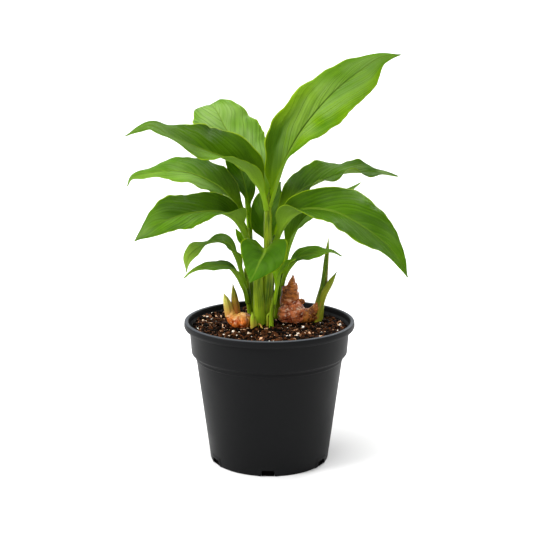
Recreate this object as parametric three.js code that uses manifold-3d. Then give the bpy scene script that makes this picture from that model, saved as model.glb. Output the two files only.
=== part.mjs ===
// Potted turmeric: a young plant of six leafy stems, two rhizomes showing at the surface, and the
// round nursery pot of potting mix it grows in. Millimetres, +Z up, +Y away from the viewer, with the
// origin at the centre of the underside of the pot.
import * as THREE from "three";
import { mergeVertices } from "three/addons/utils/BufferGeometryUtils.js";
import Module from "manifold-3d";

const wasm = await Module();
wasm.setup();

// Driving dimensions of the pot.
const POT_HEIGHT = 134;
const LIP_RADIUS = 80;
const MOUTH_RADIUS = 75.5;
const LIP_HEIGHT = 6;
const COLLAR_TOP_RADIUS = 75;
const COLLAR_FOOT_RADIUS = 73.2;
const COLLAR_DEPTH = 30; // from the rim down to the collar's lower edge
const STEP_DEPTH = 35; // from the rim down to where the body's own wall starts
const FOOT_RADIUS = 56.2;
const WALL_SLOPE = 0.13; // the body's radius grows by this for each millimetre of height
const WALL = 1.6;
const LIP_ROUND = 1.3;
const FOOT_ROUND = 2.4;
const FLOOR = 2.2;
const POT_SIDES = 48;
const NOTCHES = 6;
const NOTCH = { foot: 13.5, top: 10.8, height: 6, reach: 13.5, turn: -1.5 }; // turn in degrees

// The mix ends this far below the rim, and everything that touches keeps this gap.
const MIX_BELOW_RIM = 9.5;
const GAP = 0.3;
const MIX_TOP = POT_HEIGHT - MIX_BELOW_RIM;
const MIX_SIDES = 34;
const MIX_RINGS = [69, 60, 50, 39, 27, 14];

// Towards the wall the mix climbs by this much, on the left by a part more and on the right less.
const BANK = 4;
const BANK_TO_LEFT = 0.3;

// Crumbs are two crossing waves this high. Chips of bark lie on a spiral, each a squashed octahedron
// that sits this far above the mean surface and leans by up to so many radians.
const CRUMB = 0.8;
const CHIPS = 22;
const CHIP = { least: 2.4, spread: 1.4, stretch: [1.5, 0.9, 0.6], reach: 68, raised: 0.4, lean: 0.5 };
const GOLDEN_ANGLE = Math.PI * (3 - Math.sqrt(5));

// A blade's thickness at its margin, and its midrib's at the foot and at the tip.
const MARGIN = 0.8;
const RIB_FOOT = 3.2;
const RIB_TIP = 1.1;

// The two margins of a blade wave out of step by this part of a wave, and a small leaf hardly waves.
const OTHER_MARGIN_LAG = 0.35;
const CALM = { high: 0.3, count: 1, start: 0 };

// A cupped blade turns up more on its left half, beyond this part of the half width.
const CUP_FROM = 0.45;

const material = (color, roughness) => new THREE.MeshStandardMaterial({ color, roughness, metalness: 0 });
const looks = {
  pot: material(0x26282a, 0.5),
  mix: material(0x2c2019, 0.95),
  rhizome: material(0xb0652f, 0.7),
  redRhizome: material(0x8e4f34, 0.75),
  shoot: material(0xb9b25a, 0.5),
  stem: material(0x86a838, 0.45),
  leaf: material(0x3f7d1c, 0.4),
  paleLeaf: material(0x6ba63a, 0.4),
};

const group = new THREE.Group();

// Adds one named piece to the group.
function piece(name, geometry, look) {
  const mesh = new THREE.Mesh(geometry, look);
  mesh.name = name;
  group.add(mesh);
}

// A closed geometry as a solid, and a solid's largest body as a geometry.
function solid(geometry) {
  const bare = geometry.index ? geometry.toNonIndexed() : geometry.clone();
  bare.deleteAttribute("normal");
  bare.deleteAttribute("uv");
  const merged = mergeVertices(bare, 1e-4);
  return new wasm.Manifold(
    new wasm.Mesh({
      numProp: 3,
      vertProperties: new Float32Array(merged.attributes.position.array),
      triVerts: new Uint32Array(merged.index.array),
    }),
  );
}

function geometryOf(body) {
  const whole = body.decompose().sort((a, b) => b.volume() - a.volume())[0];
  const mesh = whole.getMesh();
  const position = new Float32Array(mesh.numVert * 3);
  for (let i = 0; i < mesh.numVert; i++) {
    position.set(mesh.vertProperties.subarray(i * mesh.numProp, i * mesh.numProp + 3), i * 3);
  }
  const geometry = new THREE.BufferGeometry();
  geometry.setAttribute("position", new THREE.BufferAttribute(position, 3));
  geometry.setIndex(new THREE.BufferAttribute(new Uint32Array(mesh.triVerts), 1));
  return geometry;
}

const vector = ([x, y, z]) => new THREE.Vector3(x, y, z);
const curve = (route) => new THREE.CatmullRomCurve3(route.map(vector), false, "catmullrom", 0.5);
const radians = THREE.MathUtils.degToRad;

// The value at t, from 0 to 1, of a smooth line through values at even steps.
function along(values, t) {
  const last = values.length - 1;
  const x = Math.min(Math.max(t, 0), 1) * last;
  const i = Math.min(Math.floor(x), last - 1);
  const [a, b, c, d] = [i - 1, i, i + 1, i + 2].map((k) => values[Math.min(Math.max(k, 0), last)]);
  const s = x - i;
  const slope = (c - a) / 2;
  const nextSlope = (d - b) / 2;
  const bend = 3 * (c - b) - 2 * slope - nextSlope;
  const twist = 2 * (b - c) + slope + nextSlope;
  return b + s * (slope + s * (bend + s * twist));
}

const alongVector = (values, t) =>
  new THREE.Vector3(...[0, 1, 2].map((axis) => along(values.map((v) => v[axis]), t)));

function geometryFrom(points, faces) {
  const geometry = new THREE.BufferGeometry();
  const numbers = points.flatMap((p) => [p.x, p.y, p.z]);
  geometry.setAttribute("position", new THREE.Float32BufferAttribute(numbers, 3));
  geometry.setIndex(faces);
  return geometry;
}

// A closed skin from rings of points: quads between neighbouring rings, and a fan over each end.
function skin(rings) {
  const n = rings[0].length;
  const points = rings.flat();
  const faces = [];
  for (let i = 0; i < rings.length - 1; i++) {
    for (let j = 0; j < n; j++) {
      const a = i * n + j;
      const b = i * n + ((j + 1) % n);
      faces.push(a, b, b + n, a, b + n, a + n);
    }
  }
  const end = (rings.length - 1) * n;
  for (let j = 1; j < n - 1; j++) {
    faces.push(0, j + 1, j, end, end + j, end + j + 1);
  }
  return geometryFrom(points, faces);
}

// A stem, shoot or rhizome: rings round a route, with the radius at even steps, wider across by flat.
// Knots are raised rings that a rhizome carries, relief is how far they stand out.
function stalk({ route, radii, sides = 8, steps = 8, flat = 1, knots = 0, relief = 0 }, grow = 0) {
  const path = curve(route);
  const rings = [];
  for (let i = 0; i <= steps; i++) {
    const t = i / steps;
    const centre = path.getPointAt(t);
    const forward = path.getTangentAt(t);
    const across = new THREE.Vector3(0, 1, 0).cross(forward).normalize();
    const outward = forward.clone().cross(across);
    const knot = knots ? relief * Math.cos(2 * Math.PI * knots * t) : 0;
    const radius = Math.max(along(radii, t), 0.3) * (1 + knot) + grow;
    const ring = [];
    for (let j = 0; j < sides; j++) {
      const turn = (2 * Math.PI * j) / sides;
      ring.push(
        centre
          .clone()
          .addScaledVector(across, radius * flat * Math.cos(turn))
          .addScaledVector(outward, radius * Math.sin(turn)),
      );
    }
    rings.push(ring);
  }
  return skin(rings);
}

// How far the wave lifts a point of the blade: nothing at the rib and the ends, all at the margin.
function lift(wave, u, s) {
  const lag = s > 0 ? 0 : OTHER_MARGIN_LAG;
  const swing = Math.sin(2 * Math.PI * (wave.count * u + wave.start + lag));
  return wave.high * s * s * Math.sin(Math.PI * u) * swing;
}

// A leaf on its petiole, as one thin skin of even quads. The rib follows the route, and the blade opens
// from the fraction foot of it on. left and right are its half widths at even steps, face is where its
// upper side looks, and fold is how far in degrees both halves stand up from flat. cup is how much more
// the outer part of the left half stands up. The petiole keeps the fold of the blade's foot. The rib is
// thickest there and thins out by the middle of the blade.
function leaf(form) {
  const { route, foot, left, right, face, fold, cup = [0, 0], wave = CALM } = form;
  const { steps = 16, across = 6, stalkWidth = 2.6 } = form;
  const path = curve(route);
  const petioleSteps = Math.max(3, Math.round(steps * foot));
  const total = petioleSteps + steps;
  const upper = [];
  const lower = [];
  for (let i = 0; i <= total; i++) {
    const inPetiole = i < petioleSteps;
    const t = inPetiole ? (foot * i) / petioleSteps : foot + ((1 - foot) * (i - petioleSteps)) / steps;
    const u = Math.max(0, (t - foot) / (1 - foot));
    const rib = path.getPointAt(t);
    const forward = path.getTangentAt(t);
    const side = alongVector(face, u).cross(forward).normalize();
    const up = forward.clone().cross(side);
    const rise = radians(along(fold, u));
    const steep = rise + radians(along(cup, u));
    const core = RIB_FOOT + (RIB_TIP - RIB_FOOT) * Math.min(1, u * 2);
    const top = [];
    const under = [];
    for (let j = 0; j <= across; j++) {
      const s = (2 * j) / across - 1;
      const half = inPetiole ? stalkWidth : along(s > 0 ? left : right, u);
      const outer = half * Math.max(0, s - CUP_FROM);
      const inner = half * Math.abs(s) - outer;
      const slope = outer > 0 ? steep : rise;
      const outward = side.clone().multiplyScalar(Math.sign(s));
      const normal = up.clone().multiplyScalar(Math.cos(slope)).addScaledVector(outward, -Math.sin(slope));
      const point = rib
        .clone()
        .addScaledVector(outward, inner * Math.cos(rise) + outer * Math.cos(steep))
        .addScaledVector(up, inner * Math.sin(rise) + outer * Math.sin(steep))
        .addScaledVector(normal, lift(wave, u, s));
      const thick = MARGIN + (core - MARGIN) * (1 - Math.abs(s)) ** 2;
      top.push(point);
      under.push(point.clone().addScaledVector(s === 0 ? up : normal, -thick));
    }
    upper.push(top);
    lower.push(under);
  }
  return leafSkin(upper, lower, across, total);
}

// Both faces of a leaf, split alike on each side of the rib, with the margins and the two ends closed.
function leafSkin(upper, lower, across, total) {
  const points = [...upper.flat(), ...lower.flat()];
  const row = across + 1;
  const under = upper.length * row;
  const faces = [];
  const quad = (a, b, c, d) => faces.push(a, b, c, a, c, d);
  for (let i = 0; i < total; i++) {
    for (let j = 0; j < across; j++) {
      const [a, b, c, d] = [i * row + j, (i + 1) * row + j, (i + 1) * row + j + 1, i * row + j + 1];
      if (j < across / 2) {
        quad(b, c, d, a);
        quad(under + b, under + a, under + d, under + c);
      } else {
        quad(a, b, c, d);
        quad(under + a, under + d, under + c, under + b);
      }
    }
    const [l, m] = [i * row + across, (i + 1) * row + across];
    quad(l, m, under + m, under + l);
    const [p, q] = [i * row, (i + 1) * row];
    quad(p, under + p, under + q, q);
  }
  for (let j = 0; j < across; j++) {
    quad(j, j + 1, under + j + 1, under + j);
    const [a, b] = [total * row + j, total * row + j + 1];
    quad(a, under + a, under + b, b);
  }
  return geometryFrom(points, faces);
}

// A solid turned about Z from (radius, height) points that start and end on the axis.
function turned(profile, sides) {
  const geometry = new THREE.LatheGeometry(profile.map(([r, z]) => new THREE.Vector2(r, z)), sides);
  geometry.rotateX(Math.PI / 2);
  return solid(geometry);
}

const wallRadius = (z) => FOOT_RADIUS + WALL_SLOPE * z;

// The pot: body, step, collar and rolled lip in one turned wall, with notches cut through its foot.
function pot() {
  const step = POT_HEIGHT - STEP_DEPTH;
  const collar = POT_HEIGHT - COLLAR_DEPTH;
  const lip = POT_HEIGHT - LIP_HEIGHT;
  const profile = [
    [0, 0],
    [FOOT_RADIUS - FOOT_ROUND, 0],
    [FOOT_RADIUS - FOOT_ROUND / 4, FOOT_ROUND / 4],
    [wallRadius(FOOT_ROUND), FOOT_ROUND],
    [wallRadius(step), step],
    [COLLAR_FOOT_RADIUS - LIP_ROUND / 2, collar - LIP_ROUND],
    [COLLAR_FOOT_RADIUS, collar],
    [COLLAR_TOP_RADIUS, lip - LIP_ROUND / 2],
    [LIP_RADIUS - LIP_ROUND, lip + LIP_ROUND / 2],
    [LIP_RADIUS, lip + 1.5 * LIP_ROUND],
    [LIP_RADIUS, POT_HEIGHT - LIP_ROUND],
    [LIP_RADIUS - LIP_ROUND, POT_HEIGHT],
    [MOUTH_RADIUS + LIP_ROUND, POT_HEIGHT],
    [MOUTH_RADIUS, POT_HEIGHT - LIP_ROUND],
    [COLLAR_TOP_RADIUS - WALL, lip - WALL],
    [COLLAR_FOOT_RADIUS - WALL, collar],
    [wallRadius(step) - WALL, step - WALL],
    [wallRadius(FLOOR) - WALL, FLOOR],
    [0, FLOOR],
  ];
  let body = turned(profile, POT_SIDES);
  const outline = new THREE.Shape();
  outline.moveTo(-NOTCH.foot / 2, -1);
  outline.lineTo(NOTCH.foot / 2, -1);
  outline.lineTo(NOTCH.top / 2, NOTCH.height);
  outline.lineTo(-NOTCH.top / 2, NOTCH.height);
  for (let k = 0; k < NOTCHES; k++) {
    const cut = new THREE.ExtrudeGeometry(outline, { depth: 2 * NOTCH.reach, bevelEnabled: false });
    cut.rotateX(Math.PI / 2);
    cut.translate(0, NOTCH.reach - FOOT_RADIUS, 0);
    cut.rotateZ(radians(NOTCH.turn + (360 / NOTCHES) * k));
    body = body.subtract(solid(cut));
  }
  return body;
}

// The mix: fills the pot to under the rim, and its surface is crumbs by a formula, with bark chips
// laid on a spiral that spreads them evenly.
function mix() {
  const ring = (radius, height) =>
    Array.from({ length: MIX_SIDES }, (_, j) => {
      const turn = (2 * Math.PI * j) / MIX_SIDES;
      const [x, y] = [radius * Math.cos(turn), radius * Math.sin(turn)];
      return new THREE.Vector3(x, y, height(x, y));
    });
  const level = (z) => () => z;
  const mean = (x, y) => {
    const out = Math.hypot(x, y) / COLLAR_TOP_RADIUS;
    return MIX_TOP + BANK * out ** 3 * (1 - (BANK_TO_LEFT * x) / COLLAR_TOP_RADIUS);
  };
  const crumb = (x, y) => {
    const coarse = Math.sin(x / 3.1 + 0.7) * Math.cos(y / 2.7);
    const fine = Math.sin(x / 1.9 - y / 2.3);
    return mean(x, y) + CRUMB * (coarse + 0.75 * fine);
  };
  const step = POT_HEIGHT - STEP_DEPTH - WALL;
  const bottom = FLOOR + GAP;
  const rings = [
    ring(wallRadius(bottom) - WALL - GAP, level(bottom)),
    ring(wallRadius(step) - WALL - GAP, level(step)),
    ring(COLLAR_FOOT_RADIUS - WALL - 2 * GAP, level(POT_HEIGHT - COLLAR_DEPTH)),
    ring(COLLAR_TOP_RADIUS - WALL - 2 * GAP, (x, y) => mean(x, y) - 1),
    ...MIX_RINGS.map((radius) => ring(radius, crumb)),
  ];
  let body = solid(skin(rings));
  for (let k = 0; k < CHIPS; k++) {
    const radius = CHIP.reach * Math.sqrt((k + 0.5) / CHIPS);
    const turn = k * GOLDEN_ANGLE;
    const chip = new THREE.OctahedronGeometry(CHIP.least + CHIP.spread * Math.sin(k * 1.7) ** 2, 0);
    chip.scale(...CHIP.stretch);
    chip.rotateX(CHIP.lean * Math.sin(k * 2.3));
    chip.rotateZ(k * 1.9);
    const [x, y] = [radius * Math.cos(turn), radius * Math.sin(turn)];
    chip.translate(x, y, mean(x, y) + CHIP.raised);
    body = body.add(solid(chip));
  }
  return body;
}

// Stems, each a roll of leaf sheaths, from their foot in the mix to where the leaves leave them. The
// main one has an outer sheath on its left, which ends where the front leaf leaves it.
const stems = {
  stem_main: [
    {
      route: [
        [-6, 12, 110], [-4.5, 12.5, 128], [-3, 13, 146], [-1.5, 13, 164], [-1, 13, 186],
        [-1.5, 13, 207], [-1.3, 13, 231], [-0.5, 12.5, 246], [0, 12, 257],
      ],
      radii: [5.2, 5.1, 5, 4.9, 4.8, 4.7, 4.5, 4.3, 4.2, 4.2, 4.3, 3.4, 0.5],
      sides: 12,
      steps: 12,
    },
    {
      route: [
        [-9, 9, 112], [-8.8, 9.5, 128], [-9.2, 10, 144], [-10, 10.5, 162], [-9, 11, 178], [-6, 12, 190],
      ],
      radii: [5.8, 5.8, 5.7, 5.5, 4.4, 2.4],
      sides: 12,
    },
  ],
  stem_left: [
    {
      route: [
        [-16, 26, 112], [-17, 25, 125], [-19, 22, 142], [-21, 18, 158], [-22, 15, 172],
        [-23, 13, 180],
      ],
      radii: [3.2, 3, 2.7, 2.5, 2.3, 1.2],
    },
  ],
  stem_back_left: [
    {
      route: [
        [-13, 35, 112], [-14, 34, 127], [-17, 33, 150], [-18, 32, 175], [-18, 30, 199],
        [-19, 28, 216],
      ],
      radii: [3.4, 3.3, 3.1, 3, 2.8, 1.4],
    },
  ],
  stem_back_right: [
    {
      route: [[-1, 30, 112], [0, 30, 126], [1, 31, 155], [3, 31, 180], [4, 30, 199], [5, 28, 209]],
      radii: [4, 4, 3.8, 3.4, 3, 1.6],
    },
  ],
  stem_right: [
    {
      route: [[8, 39, 112], [8, 38.5, 126], [9.5, 38, 145], [11, 36.5, 160], [12.5, 34.5, 176]],
      radii: [3.4, 3.3, 3, 2.8, 1.4],
    },
  ],
  stem_front: [
    {
      route: [[2, 1, 112], [2, 0, 123], [2, 0, 138], [4, -1, 153], [5.5, -2, 162]],
      radii: [2.4, 2.3, 2, 1.8, 1.2],
    },
  ],
};

// Rhizomes: each is one body of stalks with raised rings, half out of the mix.
const rhizomes = {
  rhizome_left: [
    {
      route: [
        [-18.5, 6, 128.5], [-24, 5, 130.5], [-30, 4.5, 131.5], [-35, 5, 136], [-37.5, 5.5, 143],
      ],
      radii: [4, 7.6, 8.4, 7.8, 6, 4.8, 4.2],
      knots: 4,
      relief: 0.05,
      sides: 12,
      steps: 16,
    },
  ],
  rhizome_right: [
    {
      route: [[21, 26, 114], [21, 26, 134], [20, 26, 146], [20, 26, 158], [22, 26, 171]],
      radii: [8, 9.8, 10.2, 9.8, 8.4, 6.4, 0.8],
      knots: 6,
      relief: 0.06,
      sides: 10,
      steps: 20,
    },
    {
      route: [[22, 25, 127], [32, 23, 130], [40, 22, 132], [47, 22, 130]],
      radii: [7, 7.5, 7.4, 4.5],
      knots: 4,
      relief: 0.05,
      sides: 10,
      steps: 12,
    },
    { route: [[26, 25, 144], [30, 24.5, 145], [34, 24, 146]], radii: [2.8, 2.6, 1.4], steps: 4 },
  ],
};

// Shoots: pointed, some with a side leaf, on the rhizome that carries them or straight in the mix.
const shoots = {
  shoot_left_short: {
    on: "rhizome_left",
    parts: [
      {
        route: [[-37, 5.5, 136], [-38.5, 6, 144], [-40.5, 6, 151], [-43, 5, 158.5]],
        radii: [4.6, 4.4, 3.1, 0.4],
      },
    ],
  },
  shoot_left_tall: {
    on: "rhizome_left",
    parts: [
      {
        route: [[-30.5, 9, 135], [-31.5, 9.5, 146], [-33, 9.5, 155], [-34.5, 9.5, 167]],
        radii: [3.2, 3.4, 2.8, 0.4],
      },
    ],
  },
  shoot_right: {
    on: "rhizome_right",
    parts: [
      {
        route: [[46, 22, 117], [48, 22, 142], [52, 22, 162], [54, 22, 184], [56, 22, 208]],
        radii: [4.8, 4.9, 3.3, 2.2, 0.4],
        steps: 12,
      },
      {
        route: [[49, 21, 142], [52, 19.5, 154], [57, 17.5, 164], [64, 15, 177]],
        radii: [3, 3.6, 2.9, 0.4],
        flat: 0.9,
      },
    ],
  },
  sprout_front_left: {
    parts: [
      {
        route: [[-15, -1, 116], [-15.5, -1, 130], [-17, -1, 141]],
        radii: [2, 1.9, 0.5],
        steps: 6,
      },
      {
        route: [[-14.5, -1.5, 116], [-14, -1.5, 130], [-13.5, -1.5, 138]],
        radii: [1.8, 1.6, 0.5],
        steps: 6,
      },
    ],
  },
  sprout_front_right: {
    parts: [
      {
        route: [[-1, 4, 116], [-1.2, 4, 128], [-1.5, 3.5, 136], [0.5, 2.5, 139.5]],
        radii: [1.7, 1.6, 1.3, 0.7],
      },
    ],
  },
};

// Leaves, from the petiole's foot in its stem to the tip.
const leaves = {
  leaf_top_right: {
    on: "stem_main",
    route: [
      [-1, 13, 238], [3, 12, 252], [8, 10, 268], [14, 9, 283], [28, 9, 308], [46, 11, 331],
      [64, 13, 349], [82, 14, 363], [100, 14, 375], [119, 12, 378],
    ],
    foot: 0.09,
    left: [3, 15, 22, 27, 29, 28, 25, 22, 19, 15, 9, 4, 0.5],
    right: [3, 6, 11, 19, 25, 28, 29, 29, 27, 23, 17, 8, 0.5],
    face: [[-0.8, -0.55, 0.2], [-0.4, -0.85, 0.35], [-0.3, -0.9, 0.35], [-0.3, -0.8, 0.5]],
    fold: [78, 66, 36, 26, 20, 16, 12, 10, 8],
    cup: [0, 22, 32, 28, 15, 5, 0, 0, 0],
    wave: { high: 2.5, count: 3, start: 0 },
  },
  leaf_top_left: {
    on: "stem_main",
    route: [
      [-2, 11, 236], [-4, 8, 247], [-8, 5, 258], [-14, 3, 266], [-21, 1, 275], [-31, -1, 282],
      [-45, -4, 288], [-60, -8, 294], [-78, -12, 302], [-92, -14, 309], [-105, -15, 316],
      [-116, -16, 313], [-129, -17, 307],
    ],
    foot: 0.12,
    left: [3, 10, 13, 16, 19, 18, 16, 12, 9, 8, 6, 4, 0.5],
    right: [3, 11, 18, 23, 26, 27, 25, 21, 17, 11, 6, 4, 0.5],
    face: [[0.75, -0.1, 0.6], [0.25, -0.4, 0.85], [0, -0.55, 0.83], [0, -0.5, 0.85], [-0.3, -0.5, 0.8]],
    fold: [84, 84, 55, 30, 18, 12, 10, 8, 6],
    wave: { high: 2, count: 3, start: 0.2 },
  },
  leaf_back: {
    on: "stem_main",
    route: [
      [-1, 15, 236], [-4, 20, 255], [-16, 31, 278], [-31, 43, 294], [-42, 55, 309], [-50, 67, 323],
      [-57, 78, 329], [-60, 88, 327], [-63, 95, 319],
    ],
    foot: 0.12,
    left: [4, 18, 25, 29, 29, 18, 0.5],
    right: [4, 18, 28, 30, 26, 13, 0.5],
    face: [[0.5, -0.75, 0.4], [0.3, -0.75, 0.55], [0.2, -0.7, 0.7], [-0.2, -0.3, 0.9], [-0.4, 0.4, 0.8]],
    fold: [50, 15, 10, 5, 5],
    wave: { high: 2.5, count: 3, start: 0.4 },
    pale: true,
  },
  leaf_left_upper: {
    on: "stem_back_left",
    route: [
      [-18.5, 29.5, 204], [-25, 30, 221], [-33, 31, 237], [-43, 33, 251], [-57, 36, 260],
      [-75, 39, 267], [-95, 43, 269], [-112, 46, 267], [-126, 48, 265], [-133, 49, 261],
      [-137, 50, 253],
    ],
    foot: 0.2,
    left: [6, 17, 21, 18, 14, 8, 0.5],
    right: [8, 16, 22, 22, 15, 6, 0.5],
    face: [[0.6, -0.3, 0.7], [0.1, -0.5, 0.85], [0, -0.5, 0.85], [-0.1, -0.5, 0.85], [-0.5, -0.5, 0.7]],
    fold: [55, 20, 12, 8, 5],
    wave: { high: 2, count: 3, start: 0.1 },
    pale: true,
  },
  leaf_left_lower: {
    on: "stem_back_left",
    route: [
      [-17.5, 30, 188], [-19, 25, 200], [-22, 19, 209], [-26, 13, 217], [-31, 7, 224],
      [-38, 0, 231], [-46, -6, 235], [-59, -12, 237], [-74, -19, 237], [-88, -26, 234],
      [-102, -33, 229], [-114, -38, 221], [-120, -41, 216],
    ],
    foot: 0.24,
    left: [3, 10, 12, 13, 15, 17, 19, 21, 21, 19, 15, 8, 0.5],
    right: [3, 9, 14, 18, 20, 22, 23, 23, 22, 18, 12, 6, 0.5],
    face: [[0.5, 0.2, 0.8], [0, -0.5, 0.85], [-0.1, -0.65, 0.75], [-0.2, -0.65, 0.75], [-0.4, -0.6, 0.7]],
    fold: [84, 80, 40, 22, 14, 10, 8, 6, 5],
    wave: { high: 1.6, count: 2.5, start: 0.3 },
  },
  leaf_right_upper: {
    on: "stem_back_right",
    route: [
      [4, 30, 196], [6, 30.5, 209], [9, 31, 220], [12, 33, 230], [17, 36, 238], [24, 40, 245],
      [37, 47, 253], [54, 53, 260], [73, 59, 265], [93, 65, 265], [111, 70, 263], [127, 74, 260],
    ],
    foot: 0.22,
    left: [6, 16, 23, 21, 14, 9, 0.5],
    right: [5, 13, 18, 18, 13, 8, 0.5],
    face: [[-0.5, -0.3, 0.8], [0, -0.28, 0.95], [0, -0.24, 0.95], [0.05, -0.28, 0.95], [0.3, -0.4, 0.85]],
    fold: [60, 30, 26, 20, 10],
    wave: { high: 4.5, count: 2.5, start: 0.15 },
  },
  leaf_right_large: {
    on: "stem_back_right",
    route: [
      [3.5, 31, 184], [4, 26, 196], [7, 20, 208], [12, 14, 220], [20, 7, 231], [31, 0, 238],
      [46, -8, 240], [61, -16, 238], [77, -24, 231], [92, -31, 222], [106, -37, 211],
      [116, -42, 199], [123, -46, 184],
    ],
    foot: 0.19,
    left: [3, 9, 14, 18, 22, 26, 28, 27, 25, 19, 12, 6, 0.5],
    right: [3, 13, 15, 17, 19, 21, 23, 23, 21, 17, 13, 7, 0.5],
    face: [[-0.5, 0.15, 0.8], [0.05, -0.6, 0.75], [0.2, -0.65, 0.7], [0.3, -0.65, 0.65], [0.6, -0.6, 0.5]],
    fold: [84, 84, 42, 22, 14, 12, 10, 8, 6],
    wave: { high: 2, count: 3, start: 0.45 },
  },
  leaf_right_inner: {
    on: "stem_right",
    route: [
      [12.2, 35, 168], [16, 35, 190], [20, 36, 203], [26, 37, 215], [35, 38, 226], [48, 40, 235],
      [63, 41, 243], [75, 41, 250], [87, 40, 258],
    ],
    foot: 0.25,
    left: [5, 12, 15, 12, 8, 4, 0.5],
    right: [4, 10, 12, 13, 10, 5, 0.5],
    face: [[-0.7, -0.4, 0.6], [-0.4, -0.6, 0.6], [-0.2, -0.6, 0.7], [0, -0.6, 0.75]],
    fold: [55, 25, 15, 8],
    wave: { high: 1.2, count: 2, start: 0 },
    steps: 12,
    across: 4,
  },
  leaf_front: {
    on: "stem_main",
    route: [
      [-4, 13, 190], [-4, 6, 199], [-4, -3, 202], [-5, -13, 199], [-9, -21, 193], [-13, -27, 185],
      [-18, -31.5, 176],
    ],
    foot: 0.34,
    left: [13, 24, 26, 21, 14, 7, 0.5],
    right: [13, 24, 26, 21, 14, 7, 0.5],
    face: [[0, -0.3, 0.95], [0, -0.6, 0.8], [0, -0.8, 0.6], [-0.1, -0.95, 0.3]],
    fold: [50, 36, 20, 10],
    wave: { high: 0.8, count: 1.5, start: 0 },
    steps: 12,
    across: 6,
    stalkWidth: 2.2,
  },
  leaf_small_left_upper: {
    on: "stem_left",
    route: [
      [-21.5, 16.5, 161], [-25, 10, 176], [-29, 3, 192], [-35, -3, 204], [-44, -8, 210],
      [-53, -12, 210], [-62, -15, 207], [-70, -17, 202], [-75, -19, 194], [-76, -20, 183],
    ],
    foot: 0.3,
    left: [4, 9, 11, 8, 9, 7, 0.5],
    right: [4, 9, 11, 8, 9, 6, 0.5],
    face: [[0.5, 0.1, 0.85], [0, -0.5, 0.85], [0, 0, 1], [-0.5, -0.6, 0.5], [-0.8, -0.5, 0.2]],
    fold: [50, 15, 8, 8, 5],
    wave: { high: 0.8, count: 2, start: 0.2 },
    steps: 12,
    across: 4,
    stalkWidth: 2,
  },
  leaf_small_left_lower: {
    on: "stem_left",
    route: [
      [-20, 20.5, 146], [-22, 14, 158], [-25, 6, 167], [-29, -2, 177], [-36, -10, 186],
      [-45, -18, 189], [-56, -25, 190], [-65, -31, 189], [-72, -36, 186], [-77, -39, 182],
    ],
    foot: 0.32,
    left: [3, 7, 9, 9, 7, 3, 0.5],
    right: [3, 7, 9, 7, 5, 3, 0.5],
    face: [[0.5, 0, 0.85], [0, -0.4, 0.9], [-0.1, -0.4, 0.9], [-0.4, -0.5, 0.75]],
    fold: [50, 12, 8, 5],
    wave: { high: 0.8, count: 2, start: 0.6 },
    steps: 12,
    across: 4,
    stalkWidth: 1.8,
  },
  leaf_small_left_back: {
    on: "stem_back_left",
    route: [[-18, 31.5, 174], [-22, 32.5, 192], [-27, 34, 204], [-32, 36, 214]],
    foot: 0.5,
    left: [2.5, 5, 5, 3, 0.5],
    right: [2.5, 5, 5, 3, 0.5],
    face: [[0.5, -0.6, 0.6], [0.2, -0.7, 0.7]],
    fold: [40, 15],
    steps: 6,
    across: 4,
    stalkWidth: 1.8,
  },
  leaf_small_right: {
    on: "stem_right",
    route: [
      [10, 37.5, 146], [11.5, 34, 159], [14, 29.5, 170], [19, 22, 181], [27, 14, 190],
      [38, 7, 195], [48, 1, 198], [57, -4, 200], [67, -8, 196],
    ],
    foot: 0.37,
    left: [4, 10, 12, 10, 6, 3, 0.5],
    right: [4, 8, 9, 10, 7, 3, 0.5],
    face: [[-0.5, 0, 0.85], [0, -0.55, 0.85], [0.1, -0.5, 0.85], [0.4, -0.5, 0.75]],
    fold: [55, 15, 8, 5],
    wave: { high: 0.8, count: 2, start: 0.1 },
    steps: 12,
    across: 4,
    stalkWidth: 1.8,
  },
  leaf_small_front_right: {
    on: "stem_front",
    route: [[3.5, -0.5, 149], [7, -3, 167], [9, -6, 178], [13, -9, 185], [18, -12, 191], [24, -15, 195]],
    foot: 0.4,
    left: [4, 8, 9, 6, 3, 0.5],
    right: [2, 4, 5, 4, 2, 0.5],
    face: [[-0.6, -0.2, 0.75], [-0.2, -0.6, 0.75], [0, -0.5, 0.85]],
    fold: [45, 20, 8],
    steps: 9,
    across: 4,
    stalkWidth: 1.5,
  },
  leaf_inner_left: {
    on: "stem_back_left",
    route: [
      [-18.3, 30.5, 196], [-18.5, 37, 208], [-19.5, 43, 223], [-21, 49, 238], [-24, 53, 254],
      [-29, 56, 270], [-35, 58, 282], [-41, 60, 290],
    ],
    foot: 0.42,
    left: [3, 8, 14, 16, 14, 9, 0.5],
    right: [3, 9, 11, 12, 10, 7, 0.5],
    face: [[0.6, -0.7, 0.4], [0.4, -0.8, 0.4], [0.2, -0.85, 0.45], [0.1, -0.8, 0.55]],
    fold: [55, 25, 15, 8],
    wave: { high: 1, count: 2, start: 0.3 },
    steps: 12,
    across: 6,
  },
  leaf_inner_back: {
    on: "stem_back_right",
    route: [[2.8, 31.2, 182], [1, 38, 200], [-1, 43, 218], [1, 45, 235], [5, 46, 248], [11, 47, 258]],
    foot: 0.28,
    left: [6, 16, 18, 18, 15, 8, 0.5],
    right: [4, 9, 12, 12, 11, 7, 0.5],
    face: [[-0.1, -0.95, 0.2], [-0.1, -0.95, 0.3], [-0.1, -0.9, 0.4]],
    fold: [40, 20, 8],
    wave: { high: 1, count: 1.5, start: 0 },
    steps: 12,
    across: 6,
  },
};

const join = (parts, grow = 0) => parts.map((p) => solid(stalk(p, grow))).reduce((a, b) => a.add(b));

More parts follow.
